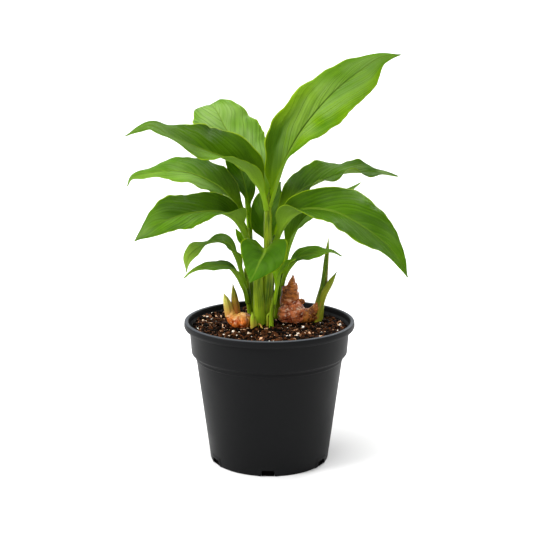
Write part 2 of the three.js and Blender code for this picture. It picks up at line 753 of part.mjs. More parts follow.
let filling = mix();
for (const [name, parts] of Object.entries(stems)) {
  piece(name, geometryOf(join(parts)), looks.stem);
  filling = filling.subtract(join(parts, GAP));
}
for (const [name, parts] of Object.entries(rhizomes)) {
  piece(name, geometryOf(join(parts)), name === "rhizome_left" ? looks.rhizome : looks.redRhizome);
  filling = filling.subtract(join(parts, GAP));
}
for (const [name, { on, parts }] of Object.entries(shoots)) {
  const body = on ? join(parts).subtract(join(rhizomes[on], GAP)) : join(parts);
  piece(name, geometryOf(body), looks.shoot);
  filling = filling.subtract(join(parts, GAP));
}
piece("potting_mix", geometryOf(filling), looks.mix);
piece("pot", geometryOf(pot()), looks.pot);
for (const [name, form] of Object.entries(leaves)) {
  const body = solid(leaf(form)).subtract(join(stems[form.on], GAP));
  piece(name, geometryOf(body), form.pale ? looks.paleLeaf : looks.leaf);
}

export default group;
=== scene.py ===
# %% [markdown]
# # A potted turmeric plant
# A young turmeric plant stands in a round black nursery pot. Under its leaves there are rolled leaf
# sheaths, ringed rhizomes and a loose bark mix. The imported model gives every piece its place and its
# size. This script keeps both, and gives each piece the fine surface and the finish of the real one.

# %% Load the model
import math
import bpy
import numpy as np
from functools import partial
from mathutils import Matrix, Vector


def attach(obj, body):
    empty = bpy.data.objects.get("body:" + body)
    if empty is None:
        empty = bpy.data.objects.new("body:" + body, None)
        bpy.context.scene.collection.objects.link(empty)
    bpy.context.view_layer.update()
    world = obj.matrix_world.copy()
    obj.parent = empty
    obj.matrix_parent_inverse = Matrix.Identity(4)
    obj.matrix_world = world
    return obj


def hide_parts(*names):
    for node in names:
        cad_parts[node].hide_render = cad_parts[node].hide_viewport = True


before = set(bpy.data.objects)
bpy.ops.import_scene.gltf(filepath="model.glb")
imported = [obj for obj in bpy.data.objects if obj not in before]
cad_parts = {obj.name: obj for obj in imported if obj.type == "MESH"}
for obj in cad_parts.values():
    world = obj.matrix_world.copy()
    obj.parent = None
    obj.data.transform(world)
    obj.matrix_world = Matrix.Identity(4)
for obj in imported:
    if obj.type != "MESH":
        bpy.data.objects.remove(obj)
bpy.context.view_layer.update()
MM = 0.001

# %% [markdown]
# ## Camera
# The photograph looks slightly down on the pot from a metre away. The rim and the foot of the pot show
# as two ellipses, and their shapes fix how far away, how high and how steeply the camera stands.

# %% Camera
CAMERA_PLACE = (-2.7 * MM, -1001 * MM, 390 * MM)
CAMERA_PITCH = math.radians(11.6)
CAMERA_LENS, SENSOR_WIDTH = 74.2, 36  # mm


def put(name, data):
    """An object at the origin that shows the data, linked into the scene."""
    thing = bpy.data.objects.new(name, data)
    bpy.context.scene.collection.objects.link(thing)
    return thing


camera = put("camera", bpy.data.cameras.new("camera"))
camera.location = CAMERA_PLACE
camera.rotation_euler = (math.pi / 2 - CAMERA_PITCH, 0, 0)
camera.data.lens = CAMERA_LENS
camera.data.sensor_width = SENSOR_WIDTH
bpy.context.scene.camera = camera
print("camera", [round(x, 3) for x in camera.location])

# %% [markdown]
# ## Light
# The photograph is a plain studio shot: white from edge to edge, with one soft shadow at the right of
# the foot. A panel near the pot would light the floor unevenly, and the far floor would turn grey. A sun
# lamp is equally strong everywhere, and its disc is made so wide that it throws a panel's soft shadow.
# The strongest one stands nearly overhead. A lower one at the left brings out the pleats of the leaves,
# and one from behind shines through the blades. Each of these two gives the floor so little of its
# light that its shadow is lost in the white.

# %% Light
SKY_STRENGTH = 0.8


def far_panel(name, towards, power, width):
    """A sun lamp standing in the direction towards, with a disc as wide as width degrees."""
    light = bpy.data.lights.new(name, "SUN")
    light.energy = power
    light.angle = math.radians(width)
    put(name, light).rotation_euler = Vector(towards).to_track_quat("Z", "Y").to_euler()


far_panel("key_above", (-0.24, -0.08, 0.96), 3.3, 60)
far_panel("side_left", (-0.80, -0.36, 0.48), 2.3, 24)
far_panel("rim_back", (0.35, 0.65, 0.60), 1.5, 24)

studio = bpy.context.scene
studio.world = bpy.data.worlds.new("studio")
studio.world.use_nodes = True
sky = studio.world.node_tree.nodes["Background"].inputs
sky["Color"].default_value = (1, 1, 1, 1)
sky["Strength"].default_value = SKY_STRENGTH
studio.view_settings.view_transform = "Standard"
studio.view_settings.look = "None"

# %% [markdown]
# ## Small helpers
# Everything below is a grid of points worked out by numpy. Most pieces are closed tubes: rings of
# points along a path, joined by quads, with a face over each end. A leaf is such a tube too, pressed
# flat, and so is the pot, whose rings follow its profile from the middle of the underside to the middle
# of the floor inside.

# %% Smooth lines through points
def through(points, t, ends="reach"):
    """Smooth line through points at even steps of t, from 0 to 1: between two points a cubic whose slope
    at each is half the step from the point before it to the one after it. Past the ends the points go
    on in a straight line where ends is "reach", and stand still where it is "rest"."""
    p = np.asarray(points, float)
    p = p[:, None] if p.ndim == 1 else p
    first, last = (2 * p[0] - p[1], 2 * p[-1] - p[-2]) if ends == "reach" else (p[0], p[-1])
    padded = np.vstack([first, p, last])
    x = np.clip(t, 0, 1) * (len(p) - 1)
    i = np.minimum(x.astype(int), len(p) - 2)
    s = (x - i)[:, None]
    a, b, c, d = (padded[i + k] for k in range(4))
    slope, next_slope = (c - a) / 2, (d - b) / 2
    bend = 3 * (c - b) - 2 * slope - next_slope
    twist = 2 * (b - c) + slope + next_slope
    return b + s * (slope + s * (bend + s * twist))


def values_at(values, t):
    """A smooth line through single numbers at even steps."""
    return through(values, t, "rest")[:, 0]


def unit(v):
    """The vector divided by its length."""
    return v / np.linalg.norm(v, axis=-1, keepdims=True)


def walk(route, t):
    """Points and directions at the fractions t of the length of the smooth line through route, and that
    length. A direction is the step between two points just before and just after."""
    fine = np.linspace(0, 1, 801)
    steps = np.linalg.norm(np.diff(through(route, fine), axis=0), axis=1)
    reached = np.concatenate([[0], np.cumsum(steps)])
    at = np.interp(np.asarray(t) * reached[-1], reached, fine)
    before, after = (through(route, np.clip(at + step, 0, 1)) for step in (-1e-4, 1e-4))
    return through(route, at), unit(after - before), reached[-1]


def smooth_step(low, high, x):
    """0 below low, 1 above high, and 3x² - 2x³ between them."""
    x = np.clip((x - low) / (high - low), 0, 1)
    return x * x * (3 - 2 * x)


print("halfway through 0, 1, 4:", values_at([0, 1, 4], np.array([0.5])))

# %% Waves that look random
def ripples(x, y, z, size, seed, layers=4):
    """A sum of plane waves in directions from a seeded draw, each layer half as long and half as high
    as the one before. size is the first wavelength. The result is about -1 to 1."""
    draw = np.random.default_rng(seed)
    total = np.zeros(np.broadcast(x, y, z).shape)
    for layer in range(layers):
        for _ in range(4):
            direction = unit(draw.normal(size=3)) * 2 * math.pi * 2**layer / size
            phase = draw.uniform(0, 2 * math.pi)
            total += np.sin(direction[0] * x + direction[1] * y + direction[2] * z + phase) / 2**layer
    return total / 4


print("ripples at the origin", ripples(0.0, 0.0, 0.0, 10, 1))

# %% Meshes from rings
def turned(radius, height, columns):
    """Rings round the upright axis: the radius times the cosine and the sine of the turn, and the
    height. Both are columns of numbers, one for each ring, or tables with one for each point."""
    turn = np.arange(columns) * 2 * math.pi / columns
    x, y = radius * np.cos(turn), radius * np.sin(turn)
    return np.stack([x, y, np.broadcast_to(height, x.shape)], -1)


def tube_faces(rows, columns):
    """Quads between neighbouring rings, and a face over each end."""
    i, j = np.meshgrid(np.arange(rows - 1), np.arange(columns), indexing="ij")
    k = (j + 1) % columns
    quads = np.stack([i * columns + j, i * columns + k, (i + 1) * columns + k, (i + 1) * columns + j], -1)
    ends = [list(range(columns - 1, -1, -1)), list(range((rows - 1) * columns, rows * columns))]
    return quads.reshape(-1, 4).tolist() + ends


def volume_of(points, faces):
    """The signed volume: a sixth of the sum of the triple products over the fan of every face."""
    total = 0.0
    for size in {len(face) for face in faces}:
        group = np.array([face for face in faces if len(face) == size])
        for k in range(1, size - 1):
            a, b, c = (points[group[:, corner]] for corner in (0, k, k + 1))
            total += np.einsum("ij,ij->i", a, np.cross(b, c)).sum() / 6
    return total


def new_piece(name, points, look, slot, replaces=(), faces=None, **marks):
    """A smooth mesh from points in millimetres, with its faces outwards, riding on the one body. The
    points are rings of a tube where no faces are given. look is a material's name. Each mark is a
    number at every point, which the material reads by its name."""
    faces = faces or tube_faces(*points.shape[:2])
    points = np.asarray(points, float).reshape(-1, 3)
    volume = volume_of(points, faces)
    if volume < 0:
        faces = [face[::-1] for face in faces]
    mesh = bpy.data.meshes.new(name)
    mesh.from_pydata(points * MM, [], faces)
    mesh.shade_smooth()
    for mark, numbers in marks.items():
        layer = mesh.attributes.new(mark, "FLOAT", "POINT")
        layer.data.foreach_set("value", np.asarray(numbers, np.float32).ravel())
    mesh.materials.append(bpy.data.materials[look])
    thing = put(name, mesh)
    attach(thing, "root")
    if replaces:
        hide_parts(*replaces)
    print(f"{name}: {len(points)} points, {abs(volume) / 1000:.2f} cm3")
    return thing


print("a tube of 3 rings of 4 points has", len(tube_faces(3, 4)), "faces")

# %% Tables of forms
def read_forms(table):
    """The forms in a table of text. A line at the margin names a form, and then says with words what it
    is made as. Each line set in below it has a key and its numbers, with a comma between two points,
    and one set in further goes on with the line before."""
    forms = {}
    for line in table.replace("\n    ", " ").strip().splitlines():
        key, _, rest = line.strip().partition(" ")
        if line.startswith(" "):
            form[key] = np.squeeze([[float(number) for number in row.split()] for row in rest.split(",")])
        else:
            form = forms[key] = {"words": rest.split()}
    return forms


print(read_forms("rod steel\n  route 0 0 0, 0 0 9\n  radii 1 1"))

# %% [markdown]
# ## Materials
# Each one is built from nodes by one small function. A pattern lies on Object coordinates, which are
# metres, so that a noise of scale 50 has clouds 20 mm wide, or on numbers that the mesh carries, such as
# how many mm a point of a leaf is from its midrib. A noise is given its place, scale, detail and
# roughness, a map range its value and the ranges it goes from and to, and a mix its amount and the two
# colours.

# %% Node helpers
def colour(hex_text):
    """An sRGB colour like #5a8f1e as linear red, green, blue and alpha."""
    srgb = np.array([int(hex_text[i : i + 2], 16) for i in (1, 3, 5)]) / 255
    linear = np.where(srgb <= 0.04045, srgb / 12.92, ((srgb + 0.055) / 1.055) ** 2.4)
    return (*(float(x) for x in linear), 1.0)


def node(tree, kind, *inputs, out="", stops=(), **named):
    """Adds a node and gives its output named out, or its first one. kind may end in an operation, and a
    Mix mixes colours. The inputs go to the open sockets in order, and a named one to the socket of its
    name. Each is an output to link to, a colour like #5a8f1e or a plain value. A name without a capital
    is a setting, and stops are the places and colours of a colour ramp."""
    kind, *operation = kind.split()
    made = tree.nodes.new("ShaderNode" + kind)
    if kind == "Mix":
        made.data_type = "RGBA"
    if operation:
        made.operation = operation[0]
    pairs = list(zip([socket for socket in made.inputs if socket.enabled], inputs))
    for key, value in named.items():
        if key[0].islower():
            setattr(made, key, value)
        else:
            pairs.append((made.inputs[key.replace("_", " ")], value))
    for socket, value in pairs:
        if isinstance(value, bpy.types.NodeSocket):
            tree.links.new(value, socket)
        else:
            socket.default_value = colour(value) if isinstance(value, str) else value
    for number, (place, hex_text) in enumerate(stops):
        ramp = made.color_ramp.elements
        stop = ramp[number] if number < len(ramp) else ramp.new(1)
        stop.position, stop.color = place, colour(hex_text)
    return next((socket for socket in made.outputs if socket.enabled and out in ("", socket.name)), None)


def new_material(name, *marks):
    """Starts a material. Gives the function that adds a node to its empty tree, then the place in
    Object coordinates and each of the marks that the mesh carries, as outputs to link."""
    made = bpy.data.materials.new(name)
    made.use_nodes = True
    made.node_tree.nodes.clear()
    add = partial(node, made.node_tree)
    place = add("TexCoord", out="Object")
    return add, place, *(add("Attribute", attribute_name=mark, out="Fac") for mark in marks)


print("leaf green", [round(x, 3) for x in colour("#5a8f1e")])

# %% [markdown]
# ## Leaf blade
# A turmeric blade is thin, waxy and a little see-through. Fine side veins leave the midrib at a low
# angle and sweep to the tip. One could paint them from a picture, but here each point of a blade knows
# its vein number, so streaks, fine veins and relief all follow the same sweep on every leaf. The shader
# is glossy skin mixed with light that comes through from behind.

# %% Leaf material
LEAF_MARKS = ("across", "along", "from_rib", "half", "vein", "under", "shade")
# from one main side vein to the next: 1.4 mm apart, as real ones are too fine to show in the render
FINE_VEINS = 6
SEE_THROUGH = 0.36  # part of a leaf's light that comes through from behind


def leaf_material(name, dark, light, through_leaf, gloss, creases, painted_sheen_strength):
    """Living leaf. Bands along the veins run between the two greens, with patches of a pale painted
    reflection, at most as strong as the last argument says, between the midrib and the margin. Dark lines
    of painted shade lie in some creases and beside the midrib, at most as strong as creases says, fine
    pale veins between them, and the midrib and the margin are yellow-green. The upper side is darker where
    the mark shade is above 0 and paler where it is below, and the underside is paler and duller. gloss is
    the roughness of the waxy skin."""
    add, place, *marks = new_material(name, *LEAF_MARKS)
    across, along, from_rib, half, vein, under, shaded = marks
    on_top = add("Math SUBTRACT", 1, under)

    # bands: noise that is long along a vein and short across it, another one on each half
    sweep = add("CombineXYZ", vein, add("Math MULTIPLY", across, 0.45), half)
    band = add("TexNoise", sweep, 2.3, 4, 0.6)
    tone = add("MapRange", add("Math ADD", band, add("TexNoise", place, 26, 2)), 0.84, 1.16)

    # shade of the leaves above, on the upper side only, and places that look at the open sky
    seen = add("Math MULTIPLY", shaded, on_top)
    shade = add("MapRange", seen, 0, 1)
    open_sky = add("MapRange", seen, 0, -1)

    # painted reflection: pale streaks in patches, less in the shade and at the margin, which turns away
    # from the light
    streak = add("TexNoise", add("VectorMath ADD", sweep, (3.1, 5.7, 1.3)), 1.6, 5, 0.66)
    patch = add("TexNoise", place, 34, 1)
    painted_sheen = add("MapRange", streak, 0.38, 0.62, 0.4 * painted_sheen_strength, painted_sheen_strength)
    for value, *ranges in ((across, 0.55, 0.92, 1, 0.12), (patch, 0.4, 0.58), (seen, 0, 0.5, 1, 0.25)):
        painted_sheen = add("Math MULTIPLY", painted_sheen, add("MapRange", value, *ranges))

    # creases lie at whole vein numbers, each with a dark line of painted shade, and how dark each one is
    # comes from a slow noise
    pick = add("TexNoise", add("CombineXYZ", vein, along, half), 0.9, 1)
    line = add("MapRange", add("Math PINGPONG", vein, 0.5), 0.02, 0.13, 1, 0)
    painted_crease_shade = add("Math MULTIPLY", line, add("MapRange", pick, 0.42, 0.62, 0, creases))
    fine = add("Math SINE", add("Math MULTIPLY", vein, 2 * math.pi * FINE_VEINS))
    fine_veins = add("MapRange", fine, 0.3, 1, 0, 0.16)

    # midrib: a pale ridge, broad at the foot of the blade, and a dark line of painted shadow in its groove
    # along its left side
    at_ridge = add("Math DIVIDE", from_rib, add("MapRange", along, 0, 0.7, 2.2, 0.9))
    fading = add("MapRange", along, 0.05, 0.9, 0.8, 0.2)
    ridge = add("Math MULTIPLY", add("MapRange", at_ridge, 0.5, 1, 1, 0), fading)
    aside = add("Math ABSOLUTE", add("Math MULTIPLY_ADD", from_rib, half, -0.35))
    groove = add("MapRange", aside, 0.4, 0.95, creases, 0)
    to_tip, past_foot = add("MapRange", along, 0.45, 1, 1, 0.4), add("MapRange", along, 0.08, 0.25)
    for part in (to_tip, past_foot, on_top):
        groove = add("Math MULTIPLY", groove, part)

    # the petiole and the rib at the foot of the blade go over into the yellow-green of the stem
    foot = add("MapRange", along, -0.1, 0.22, 0.9, 0)
    foot = add("Math MULTIPLY", foot, add("MapRange", from_rib, 3, 9, 1, 0.35))
    margin = add("MapRange", across, 0.945, 0.98, 0, 0.85)
    below = add("Math MULTIPLY", under, add("MapRange", along, 0, 0.3, 0.35, 0.6))

    # each layer is laid over the ones before it
    skin = add("Mix", tone, dark, light)
    for amount, tint in (
        (painted_sheen, "#93b066"), (shade, "#1c3a00"), (open_sky, "#98bc40"), (painted_crease_shade, "#1f3c02"),
        (fine_veins, "#80a620"), (ridge, "#8cae34"), (groove, "#1e3a04"), (foot, "#92be10"),
        (margin, "#a3c41a"), (below, "#86aa3a"),
    ):
        skin = add("Mix", amount, skin, tint)

    dull = add("MapRange", tone, 0, 1, gloss + 0.08, gloss - 0.05)
    rough = add("Math MULTIPLY_ADD", under, 0.14, dull)
    ribs = add("Math MULTIPLY_ADD", fine, 0.4, add("TexNoise", place, 900, 2))
    bump = add("Bump", 0.5, 0.3 * MM, Height=add("Math MULTIPLY_ADD", line, -1.2, ribs))
    body = add(
        "BsdfPrincipled", skin, Roughness=rough, Normal=bump, IOR=1.45,
        Specular_IOR_Level=0.16, Specular_Tint="#d2f08c",
    )

    # light from behind takes the leaf's own green with it, darkened as painted shade in the creases, the
    # midrib's groove and the shaded places
    painted_shade_on_glow = add("Math MAXIMUM", add("Math MAXIMUM", painted_crease_shade, groove), shade)
    glow = add("Mix", painted_shade_on_glow, add("Mix", 0.6, skin, through_leaf), "#2c4c04")
    add("OutputMaterial", add("MixShader", SEE_THROUGH, body, add("BsdfTranslucent", glow)))


# each kind's greens are partly the leaf's own and partly painted light and shade: darker kinds for leaves
# in shade, paler for lit ones
for kind, *values in (
    ("crinkled", "#284e00", "#527e02", "#6f9804", 0.36, 0.9, 0.75),
    ("far", "#406e0e", "#78a236", "#98bb28", 0.42, 0.4, 0.8),
    ("deep", "#2c5400", "#568400", "#739c04", 0.36, 0.5, 0.4),
    ("mid", "#325a02", "#568408", "#80a808", 0.36, 0.4, 0.3),
    ("fresh", "#3e6a02", "#6c9c0a", "#8cb40a", 0.36, 0.5, 0.4),
    ("bright", "#447404", "#7ca40c", "#9abf0c", 0.38, 0.8, 0.6),
    ("pale", "#4c7c16", "#7ca634", "#9cbf24", 0.42, 0.7, 0.6),
    ("smooth", "#326208", "#4f8410", "#7ea80c", 0.34, 0.12, 0.16),
    ("lime", "#5c8c08", "#8ab814", "#a8cc14", 0.4, 0.3, 0.3),
):
    leaf_material(f"waxy_leaf_{kind}", *values)
print("materials", [look.name for look in bpy.data.materials])

# %% [markdown]
# ## Leaves
# Each leaf is one thin closed skin. Its rib follows a smooth line through a few points, and every
# cross-section is worked out from the rib outwards: the blade turns up by the fold angle in the first
# millimetres, then arches down a little to the margin. Waves, pleats between the veins and a thick
# midrib below are added along the blade's own normal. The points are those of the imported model, moved
# by a few millimetres on some leaves, where the margin or the foot of the real one runs more freely.

# %% Where each leaf goes
# Behind the name stands the kind of leaf, and small where fewer points will do. route is the rib in mm,
# from inside the stem to the tip, and the blade opens from the fraction foot on. left and right are half
# widths in mm, stalk is the petiole's, face is where the upper side looks, fold is in degrees. wave is
# the margin's: its height in mm, how many, and where the first one starts. cup is by how many degrees
# the left margin turns up, sweep how far a vein runs on towards the tip, relief how strong the pleats
# are, and shade the mark of both halves, or of the right and the left one.
LEAVES = """
leaf_top_right bright
  foot 0.09
  route -1 13 238, 3 12 252, 8 10 268, 14 9 283, 28 9 308, 46 11 331, 64 13 349, 82 14 363, 100 14 375,
    119 12 378
  left 3 15 22 27 29 28 25 22 19 15 9 4 0.5
  right 3 6 11 19 25 28 29 29 27 23 17 8 0.5
  face -0.8 -0.55 0.2, -0.4 -0.85 0.35, -0.3 -0.9 0.35, -0.3 -0.8 0.5
  fold 78 66 36 26 20 16 12 10 8
  wave 2.5 3 0
  cup 0 22 32 28 15 5 0 0 0
  sweep 0.6
  shade 0.1 0 0 0.1 0.2 0.25, 0.35 0.05 -0.3 -0.22 -0.08 0
leaf_top_left deep
  foot 0.12
  route -2 11 236, -4 8 247, -8 5 258, -14 3 266, -21 1 275, -31 -1 282, -45 -4 288, -60 -8 294,
    -78 -12 302, -92 -14 309, -105 -15 316, -116 -16 313, -129 -17 307
  left 3 10 13 16 19 18 16 12 9 8 6 4 0.5
  right 3 11 18 23 26 27 25 21 17 11 6 4 0.5
  face 0.75 -0.1 0.6, 0.25 -0.4 0.85, 0 -0.55 0.83, 0 -0.5 0.85, -0.3 -0.5 0.8
  fold 84 84 55 30 18 12 10 8 6
  wave 2 3 0.2
  shade 0.7 0.6 0.45 0.3 0.1 0, 0.35 0.15 -0.1 -0.1 0 0
leaf_back far
  foot 0.12
  route -1 15 236, -4 20 255, -16 31 278, -31 43 294, -42 55 309, -50 67 323, -57 78 329, -60 88 327,
    -63 95 319
  left 4 18 25 29 29 18 0.5
  right 4 18 28 30 26 13 0.5
  face 0.5 -0.75 0.4, 0.3 -0.75 0.55, 0.2 -0.7 0.7, -0.2 -0.3 0.9, -0.4 0.4 0.8
  fold 50 15 10 5 5
  wave 2.5 3 0.4
  shade 0.1 0 0.05 -0.1
leaf_left_upper pale
  foot 0.2
  route -18.5 29.5 204, -25 30 221, -33 31 237, -43 33 251, -57 36 260, -75 39 267, -95 43 269,
    -112 46 267, -126 48 265, -133 49 261, -137 50 253
  left 6 17 21 18 14 8 0.5
  right 8 16 22 22 15 6 0.5
  face 0.6 -0.3 0.7, 0.1 -0.5 0.85, 0 -0.5 0.85, -0.1 -0.5 0.85, -0.5 -0.5 0.7
  fold 55 20 12 8 5
  wave 2 3 0.1
  shade 0.9 0.8 0.5 0.15 -0.05 -0.2, 0.6 0.4 0.15 -0.1 -0.2 -0.2
leaf_left_lower deep
  foot 0.24
  route -17.5 30 188, -19 25 200, -22 19 210.5, -26 13 220, -31 7 228, -38 0 234, -46 -6 237,
    -59 -12 238, -74 -19 237, -88 -26 234, -102 -33 229, -114 -38 221, -120 -41 216
  left 3 12 15.5 16 16 17 19 21 21 19 15 8 0.5
  right 3 9 14 18 20 22 23 23 22 18 12 6 0.5
  face 0.5 0.2 0.8, 0 -0.5 0.85, -0.1 -0.65 0.75, -0.2 -0.65 0.75, -0.4 -0.6 0.7
  fold 84 80 40 22 14 10 8 6 5
  wave 1.6 2.5 0.3
  shade 0.4 0.7 0.7 0.45 0.05 -0.1, -0.4 0.2 0.1 0 0 0
leaf_right_upper crinkled
  foot 0.22
  route 4 30 196, 6 30.5 209, 9 31 220, 12 33 230, 17 36 238, 24 40 245, 37 47 253, 54 53 260,
    73 59 265, 93 65 265, 111 70 263, 127 74 260
  left 6 16 23 20 17 11 0.5
  right 5 12 14 11 11 8 0.5
  face -0.5 -0.3 0.8, 0 -0.28 0.95, 0 -0.24 0.95, 0.05 -0.28 0.95, 0.3 -0.4 0.85
  fold 60 30 26 20 10
  wave 4.5 3.4 0.84
  relief 1.4
  shade 0.7 0.6 0.45 0.25 0.1 0
leaf_right_large mid
  foot 0.19
  route 3.5 31 184, 4 26 196, 7 20 208, 12 14 220, 20 7 231, 31 0 238, 46 -8 240, 61 -16 238,
    77 -24 231, 92 -31 222, 106 -37 211, 116 -42 199, 123 -46 184
  left 3 9 14 18 22 28 30 27 25 19 12 6 0.5
  right 3 13 15 17 19 21 23 23 21 17 13 7 0.5
  face -0.5 0.15 0.8, 0.05 -0.6 0.75, 0.2 -0.65 0.7, 0.3 -0.65 0.65, 0.6 -0.6 0.5
  fold 84 84 42 22 14 12 10 8 6
  wave 2 3 0.45
  shade 0.4 0.35 0.4 0.35 0.35 -0.1, 0.5 0.4 0.35 0.3 0.3 -0.1
leaf_right_inner pale small
  foot 0.25
  route 12.2 35 168, 16 35 190, 20 36 203, 26 37 215, 35 38 226, 48 40 235, 63 41 243, 75 41 250,
    87 40 258
  left 5 12 15 12 8 4 0.5
  right 4 10 12 13 10 5 0.5
  face -0.7 -0.4 0.6, -0.4 -0.6 0.6, -0.2 -0.6 0.7, 0 -0.6 0.75
  fold 55 25 15 8
  wave 1.2 2 0
  shade 0.3 0.1 -0.1 -0.1 0, 0.6 0.5 0.3 0.1 0
leaf_front smooth small
  foot 0.34
  route -4 13 190, -4 6 199, -4 -3 202, -5 -13 199, -9 -21 193, -13 -27 185, -18 -31.5 176
  left 13 24 26 21 14 7 0.5
  right 13 24 26 21 14 7 0.5
  face 0 -0.3 0.95, 0 -0.6 0.8, 0 -0.8 0.6, -0.1 -0.95 0.3
  fold 50 30 14 8
  wave 0.8 1.5 0
  stalk 2.2
  relief 0.3
  shade 0.5 0.4 0.25 0.1, 0.6 0.6 0.4 0.2
leaf_small_left_upper fresh small
  foot 0.3
  route -21.5 16.5 161, -25 10 176, -29 3 192, -35 -3 204, -44 -8 210, -53 -12 210, -62 -15 207,
    -70 -17 202, -75 -19 194, -76 -20 183
  left 4 9 11 8 9 7 0.5
  right 4 9 11 8 9 6 0.5
  face 0.5 0.1 0.85, 0 -0.5 0.85, 0 0 1, -0.5 -0.6 0.5, -0.8 -0.5 0.2
  fold 50 15 8 8 5
  wave 0.8 2 0.2
  stalk 2
  shade 0.1 -0.1 0 -0.3 -0.9 -1
leaf_small_left_lower fresh small
  foot 0.32
  route -20 20.5 146, -22 14 158, -25 6 167, -29 -2 177, -36 -10 186, -45 -18 189, -56 -25 190,
    -65 -31 189, -72 -36 186, -77 -39 182
  left 3 7 9 9 7 3 0.5
  right 3 7 9 7 5 3 0.5
  face 0.5 0 0.85, 0 -0.4 0.9, -0.1 -0.4 0.9, -0.4 -0.5 0.75
  fold 50 12 8 5
  wave 0.8 2 0.6
  stalk 1.8
  shade 0.4 0.4 0.1 -0.3 -1
leaf_small_left_back lime small
  foot 0.5
  route -18 31.5 174, -22 32.5 192, -27 34 204, -32 36 214
  left 2.5 5 5 3 0.5
  right 2.5 5 5 3 0.5
  face 0.5 -0.6 0.6, 0.2 -0.7 0.7
  fold 40 15
  stalk 1.8
  shade 0 0
leaf_small_right fresh small
  foot 0.37
  route 10 37.5 146, 11.5 34 159, 14 29.5 170, 19 22 181, 27 14 190, 38 7 195, 48 1 198, 57 -4 200,
    67 -8 196
  left 4 10 12 10 6 3 0.5
  right 4 8 9 10 7 3 0.5
  face -0.5 0 0.85, 0 -0.55 0.85, 0.1 -0.5 0.85, 0.4 -0.5 0.75
  fold 55 15 8 5
  wave 0.8 2 0.1
  stalk 1.8
  shade 0.4 0.4 0.3 0.2 0.1
leaf_small_front_right lime small
  foot 0.4
  route 3.2 -0.5 149, 6 -3 167, 8.4 -6 178, 13 -9 185, 18 -12 191, 24 -15 195
  left 4.5 9.5 9.5 6 3 0.5
  right 2 4 5 4 2 0.5
  face -0.6 -0.2 0.75, -0.2 -0.6 0.75, 0 -0.5 0.85
  fold 45 20 8
  stalk 1.5
  shade 0 0
leaf_inner_left deep small
  foot 0.42
  route -18.3 30.5 196, -18.5 37 208, -19.5 43 223, -21 49 238, -24 53 254, -29 56 270, -35 58 282,
    -41 60 290
  left 3 8 14 16 14 9 0.5
  right 3 9 11 12 10 7 0.5
  face 0.6 -0.7 0.4, 0.4 -0.8 0.4, 0.2 -0.85 0.45, 0.1 -0.8 0.55
  fold 55 25 15 8
  wave 1 2 0.3
leaf_inner_back deep small
  foot 0.28
  route 2.8 31.2 182, 1 38 200, -1 43 218, 1 45 235, 5 46 248, 11 47 258
  left 6 16 18 18 15 8 0.5
  right 4 9 12 12 11 7 0.5
  face -0.1 -0.95 0.2, -0.1 -0.95 0.3, -0.1 -0.9 0.4
  fold 40 20 8
  wave 1 1.5 0
"""
LEAF_FORMS = read_forms(LEAVES)
print("leaves", len(LEAF_FORMS))

# %% The skin of one leaf
BLADE = 0.45  # thickness in mm
RIB_FOOT, RIB_TIP = 3.2, 1.1  # depth of the midrib under the blade's foot and towards the tip, mm
FOLD_BEND = 1.6  # the blade reaches its fold angle over about this many mm from the rib
ARCH, ARCH_BEND = math.radians(20), 4  # fall of a blade's slope from rib to margin, and its start in mm
CROWDING = 1.35  # the power that draws the columns of points together at the rib
VEIN_GAP = 8.5  # mm along the rib from one main side vein to the next
VEIN_SWEEP = 0.42  # part of the blade's length that a vein covers on its way out to the margin
PLEAT = 1.0  # height in mm of the rounded ridges between two side veins
SWELL = 0.9  # height in mm of the slow bulges of a blade
CRINKLE = 2.2  # height in mm of the short waves at the margin
UNEVEN, NOTCHED = (0.085, 52), (0.035, 19)  # part by which a half width wavers, and over how many mm
OTHER_MARGIN_LAG = 0.35  # part of a wave by which the right margin's waves run behind
CALM = (0.3, 1, 0)  # the wave of a leaf that has none in the table
CUP_SHADE = 1.8  # shade for each square of the cup in radians
EVEN_SHADE = (0.45, 0.3, 0.1, 0, 0)  # from the foot of a blade to its tip
PETIOLE = 2.6  # half width in mm


